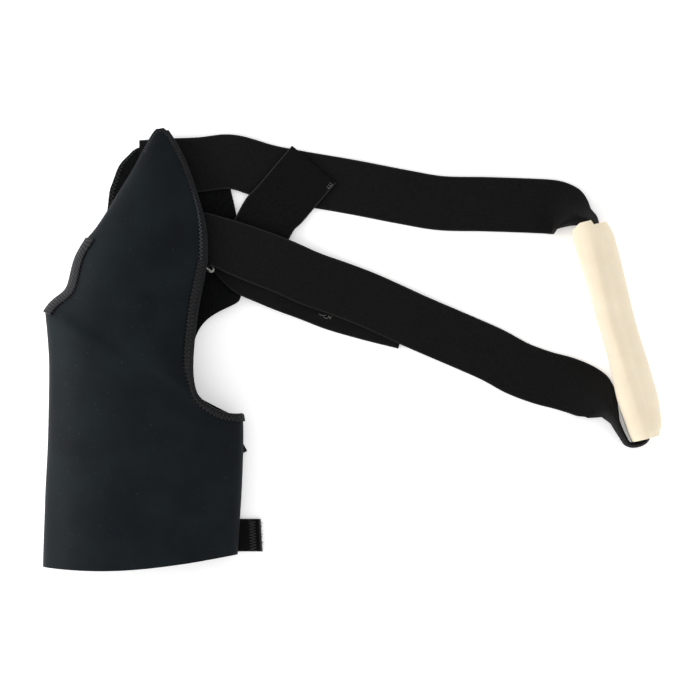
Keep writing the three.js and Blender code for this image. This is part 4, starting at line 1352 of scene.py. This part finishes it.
def strap_grid(wave):
    """Rows and cloth coordinates of the chest strap."""
    stations = strap_stations()
    spine = spline([s[0] for s in stations], STRAP_STEPS)
    grid, uvs, walked = [], [], 0.0
    for i, centre in enumerate(spine):
        before = min(i // STRAP_STEPS, len(stations) - 2)
        share = i / STRAP_STEPS - before
        heading = math.radians(mix(stations[before][1], stations[before + 1][1], share))
        fold = mix(stations[before][2], stations[before + 1][2], share)
        free = mix(float(stations[before][3]), float(stations[before + 1][3]), share)
        ease = mix(stations[before][4], stations[before + 1][4], share)
        centre.z = max(centre.z, STRAP_FLOOR + fold_depth(fold))
        if i:
            walked += (centre - spine[i - 1]).length
        way = spine[min(i + 1, len(spine) - 1)] - spine[max(i - 1, 0)]
        across = Vector((-math.sin(heading), math.cos(heading), 0))
        up = way.cross(across).normalized()
        up = up.lerp(Vector((0, 0, 1)), min(1.0, fold / UPRIGHT_FOLD)).normalized()
        line = strap_section(centre, across, up, fold, ease)
        for c, point in enumerate(line):
            side = c / STRAP_CELLS - 0.5
            if free:
                swell = noise.noise(Vector((walked / SWELL_LENGTH, side * 1.6, 3.1)))
                flutter = noise.noise(Vector((walked / FLUTTER_LENGTH, side * 3, 8.4)))
                lift = max(0.0, swell + SWELL_BASE + flutter * abs(side) * FLUTTER)
                point = point + Vector((0, 0, free * wave / MM * lift))
            line[c] = point
            uvs.append((side * STRAP_WIDTH * MM, walked * MM))
        grid.append(line)
    return grid, uvs


# Foam pad


def pad_grids():
    """Outer and inner rows of the foam roll, in millimetres."""
    outer, inner = [], []
    strap_tall = STRAP_WIDTH / 2 + STRAP_WALL + CLEARANCE * 2
    middle = (PAD_HEIGHT - LIP_RISE) / 2
    for share, width, height, side, hollow, slant in mixed_rows(PAD_SECTIONS, 6):
        centre, core = pad_plan(share, side), pad_plan(share, 0)
        out_line, in_line = [], []
        wander = LIP_WANDER * math.sin(math.pi * min(1.0, max(0.0, share)))
        near_top = 1 - smoothstep(share, 0, LOBE_LENGTH)
        for k in range(PAD_SIDES):
            turn = 360 * k / PAD_SIDES
            angle = math.radians(turn)
            cos, sin = math.cos(angle), math.sin(angle)
            lip = LIP_RISE * smoothstep(turn - wander, *LIP_EDGE) * smoothstep(turn, *LIP_FADE)
            lip -= PAD_VALLEY * math.exp(-(((turn - VALLEY_AT - wander) / VALLEY_WIDTH) ** 2))
            wide = (PAD_WIDTH * width - LIP_RISE) / 2 + lip
            tall = (PAD_HEIGHT * height - LIP_RISE) / 2 + lip
            across = math.copysign(abs(cos) ** PAD_ROUND, cos)
            x = across * wide
            z = math.copysign(abs(sin) ** PAD_ROUND, sin) * tall
            down = slant * mix(max(0.0, across), smoothstep(across, *STEP_EDGE), PAD_STEP)
            down -= PAD_LOBE * near_top * smoothstep(across, *LOBE_LEFT) * smoothstep(across, *LOBE_RIGHT)
            plan = centre + PAD_SIDE * x + PAD_WAY * PAD_LENGTH * down
            out_line.append(Vector((plan.x, plan.y, max(FLOOR_GAP, middle + z))))
            half = HOLLOW_WIDTH * hollow / 2
            plan = core + PAD_SIDE * math.copysign(abs(cos) ** HOLLOW_ROUND, cos) * half
            z = strap_tall / 2 * (1 + math.copysign(abs(sin) ** HOLLOW_ROUND, sin))
            in_line.append(Vector((plan.x, plan.y, PAD_FLOOR + z)))
        outer.append(out_line)
        inner.append(in_line)
    return outer, inner


# Operators


class BRACE_OT_sleeve(bpy.types.Operator):
    """Neoprene sleeve: the cuff tube and the shoulder cap"""

    bl_idname = "brace.sleeve"
    bl_label = "Sleeve"

    def execute(self, context):
        settings = context.scene.brace_cloth
        points, faces, cuff, cap = sleeve_surface()
        piece = make_piece("sleeve", points, faces)
        paint(piece, neoprene_material(), core_material())
        rounder(piece, 2)
        settle(piece)
        left, right, band = binding_paths(cuff, cap)
        calm = [Vector(to_frame(points[n])) for path in (left, right, band) for n, _, _ in path]
        relief(piece, settings.relief, settings.swell, 4.0, calm)
        wall(piece, NEOPRENE, rim_slot=1)
        soften(piece, 0.45)
        settle(piece)
        keep_above_floor(piece)
        seat(piece, "neoprene", "sleeve_shell")
        return {"FINISHED"}


class BRACE_OT_bindings(bpy.types.Operator):
    """Folded bindings of both notches and the band at the cap's right edge, with their stitches"""

    bl_idname = "brace.bindings"
    bl_label = "Bindings"

    def execute(self, context):
        settings = context.scene.brace_cloth
        points, faces, cuff, cap = sleeve_surface()
        normals = surface_normals(points, faces)
        left, right, band = binding_paths(cuff, cap)
        tape, made = binding_material(), []
        for name, path, node, flat in (
            ("binding_left", left, "axilla_binding_left", (0.022, 0.118)),
            ("binding_right", right, "axilla_binding_right", (0.019, 0.21)),
            ("edge_band", band, "front_edge_band", (0.014, 0.12)),
        ):
            piece = strip_piece(name, edge_fold(points, normals, path, BINDING_WALL), BINDING_WALL)
            paint(piece, tape)
            seat(piece, "binding", node)
            made.append((piece, flat_lines(points, path)))
        sleeve = bpy.data.objects["sleeve"]
        for piece, (edge, inner) in made:
            strip_stitches(piece, Drop(piece, sleeve), edge, inner, settings)
        tip_overlock(Drop(piece, sleeve), points, cap, settings.thread / MM)
        return {"FINISHED"}


class BRACE_OT_wing(bpy.types.Operator):
    """Back wing of loop cloth with its curled lower edge"""

    bl_idname = "brace.wing"
    bl_label = "Back wing"

    def execute(self, context):
        settings = context.scene.brace_cloth
        grid = wing_grid()
        points, rows = numbered(grid)
        piece = make_piece("back_wing_cloth", points, cells_between(rows))
        paint(piece, loop_material())
        rounder(piece, 1)
        wall(piece, WING_WALL)
        soften(piece, 0.6)
        settle(piece)
        seat(piece, "loop_cloth", "back_wing")
        edge = [line[0].to_2d() for line in grid]
        inner = [line[1].to_2d() for line in grid]
        plan = swing(edge[::3], inner[::3], settings.pitch / MM, *WING_SEAM)
        lines, radius = laid_thread(Drop(piece), plan, THREAD_LIFT), settings.thread / MM
        sew("wing_stitches", lines, radius, thread_material("wing thread", "#2b2c2e"), "loop_cloth")
        return {"FINISHED"}


class BRACE_OT_strap(bpy.types.Operator):
    """Elastic chest strap from its sewn end through the pad and the ring to its turned end"""

    bl_idname = "brace.strap"
    bl_label = "Chest strap"

    def execute(self, context):
        settings = context.scene.brace_strap
        grid, uvs = strap_grid(settings.wave)
        points, rows = numbered(grid)
        piece = make_piece("chest_strap_elastic", points, cells_between(rows), uvs)
        paint(piece, elastic_material(settings.rib))
        wall(piece, STRAP_WALL, even=False)
        soften(piece, 0.35)
        settle(piece)
        keep_above_floor(piece)
        seat(piece, "elastic", "chest_strap")
        drop, lines = Drop(piece), []
        for ends in LOOSE_THREADS:
            lines += laid_thread(drop, spline([Vector(end) for end in ends], 6), THREAD_LIFT)
        sew("loose_threads", lines, LOOSE_RADIUS, thread_material("loose thread", "#787773"), "elastic")
        return {"FINISHED"}


class BRACE_OT_tabs(bpy.types.Operator):
    """Hook tab over the strap and the cuff's closing tab, with their stitches"""

    bl_idname = "brace.tabs"
    bl_label = "Tabs"

    def execute(self, context):
        cloth = context.scene.brace_cloth
        tab = tape_piece("hook_tab_tape", tab_rows(), TAB_WIDTH, TAB_WALL, 16)
        paint(tab, hook_material(TAB_WIDTH))
        settle(tab)
        seat(tab, "hook_tape", "hook_tab")
        closing = tape_piece("cuff_tab_tape", cuff_tab_rows(), CUFF_TAB_WIDTH, CUFF_TAB_WALL, 14)
        paint(closing, hook_material(CUFF_TAB_WIDTH))
        settle(closing)
        seat(closing, "hook_tape", "cuff_tab")
        radius = cloth.thread / MM
        cuff_tab_stitches(Drop(closing), radius)
        cuff_tab_fray(radius)
        corner_stitches(Drop(tab), radius)
        return {"FINISHED"}


class BRACE_OT_pad(bpy.types.Operator):
    """Foam armpit pad rolled round the strap, with the overlap along its top"""

    bl_idname = "brace.pad"
    bl_label = "Pad"

    def execute(self, context):
        settings = context.scene.brace_pad
        outer, inner = pad_grids()
        points, rows = numbered([*outer, *inner])
        count = len(outer)
        faces = cells_between(rows[:count], closed=True)
        faces += [tuple(reversed(face)) for face in cells_between(rows[count:], closed=True)]
        for end, flip in ((0, False), (count - 1, True)):
            ring = cells_between([rows[end], rows[end + count]], closed=True)
            faces += ring if flip else [tuple(reversed(face)) for face in ring]
        piece = make_piece("pad_foam", points, faces)
        paint(piece, foam_material())
        soften(piece, 2.2, 4)
        settle(piece, sharp=60)
        relief(piece, settings.dent, 0.03, 2.0)
        keep_above_floor(piece)
        seat(piece, "foam", "axilla_pad")
        return {"FINISHED"}


class BRACE_OT_fittings(bpy.types.Operator):
    """Finish of the ring, its tape and the hook patch, which stay as their solids"""

    bl_idname = "brace.fittings"
    bl_label = "Fittings"

    def execute(self, context):
        nodes = frame["nodes"]
        for name, slot, material in (
            ("strap_ring", "steel", steel_material()),
            ("ring_tape", "binding", binding_material()),
            ("hook_patch", "hook_tape", thread_material("hook patch", "#121212")),
        ):
            node = nodes[name]
            node.data.materials.clear()
            node.data.materials.append(material)
        rounder(nodes["strap_ring"], 1)
        nodes["strap_ring"].data.shade_smooth()
        return {"FINISHED"}


class BRACE_OT_stage(bpy.types.Operator):
    """Camera straight above, pale floor and soft studio light"""

    bl_idname = "brace.stage"
    bl_label = "Stage"

    def execute(self, context):
        settings = context.scene.brace_stage
        scene = context.scene
        data = bpy.data.cameras.new("camera")
        data.sensor_width = SENSOR_WIDTH
        data.lens = SENSOR_WIDTH * settings.height / settings.view
        data.clip_end = 50
        camera = bpy.data.objects.new("camera", data)
        camera.location = (*VIEW_MIDDLE, settings.height)
        scene.collection.objects.link(camera)
        scene.camera = camera
        scene.view_settings.view_transform = "Standard"
        world = bpy.data.worlds.new("studio")
        world.use_nodes = True
        background = world.node_tree.nodes["Background"]
        background.inputs["Color"].default_value = (1, 1, 1, 1)
        background.inputs["Strength"].default_value = settings.light
        scene.world = world
        bpy.ops.mesh.primitive_plane_add(size=FLOOR_SIZE, location=(0, 0, -FLOOR_DROP))
        floor = context.object
        floor.name = "floor"
        material, _, shader = new_material("white paper", 0.9, 0.0)
        shader.inputs["Base Color"].default_value = (0.96, 0.96, 0.96, 1)
        shader.inputs["Emission Color"].default_value = (1, 1, 1, 1)
        shader.inputs["Emission Strength"].default_value = settings.glow
        paint(floor, material)
        for name, place_at, wide, tall, power in LAMPS:
            light = bpy.data.lights.new(name, "AREA")
            light.shape = "RECTANGLE"
            light.size = wide
            light.size_y = tall
            light.energy = power
            lamp = bpy.data.objects.new(name, light)
            lamp.location = place_at
            lamp.rotation_mode = "QUATERNION"
            lamp.rotation_quaternion = (-Vector(place_at)).to_track_quat("-Z", "Y")
            scene.collection.objects.link(lamp)
        return {"FINISHED"}


class BRACE_PT_panel(bpy.types.Panel):
    """Sidebar panel of the brace"""

    bl_idname = "BRACE_PT_panel"
    bl_label = "Shoulder brace"
    bl_space_type = "VIEW_3D"
    bl_region_type = "UI"
    bl_category = "Brace"

    def draw(self, context):
        layout = self.layout
        scene = context.scene
        for group in (scene.brace_cloth, scene.brace_strap, scene.brace_pad, scene.brace_stage):
            box = layout.box()
            for name in group.bl_rna.properties.keys():
                if name not in ("rna_type", "name"):
                    box.prop(group, name)
        for operator in STEPS:
            layout.operator(operator.bl_idname)


STEPS = (
    BRACE_OT_stage,
    BRACE_OT_wing,
    BRACE_OT_sleeve,
    BRACE_OT_bindings,
    BRACE_OT_strap,
    BRACE_OT_tabs,
    BRACE_OT_pad,
    BRACE_OT_fittings,
)
GROUPS = {
    "brace_cloth": BraceClothSettings,
    "brace_strap": BraceStrapSettings,
    "brace_pad": BracePadSettings,
    "brace_stage": BraceStageSettings,
}


def register():
    """Registers the classes and their settings."""
    for item in (*GROUPS.values(), *STEPS, BRACE_PT_panel):
        bpy.utils.register_class(item)
    for name, group in GROUPS.items():
        setattr(bpy.types.Scene, name, PointerProperty(type=group))


def unregister():
    """Takes the classes and their settings away again."""
    for name in GROUPS:
        delattr(bpy.types.Scene, name)
    for item in (BRACE_PT_panel, *reversed(STEPS), *GROUPS.values()):
        bpy.utils.unregister_class(item)


def main():
    """Builds the looks in order."""
    register()
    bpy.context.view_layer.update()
    bpy.ops.brace.stage()
    bpy.ops.brace.wing()
    bpy.ops.brace.sleeve()
    bpy.ops.brace.bindings()
    bpy.ops.brace.strap()
    bpy.ops.brace.tabs()
    bpy.ops.brace.pad()
    bpy.ops.brace.fittings()


if __name__ == "__main__":
    main()
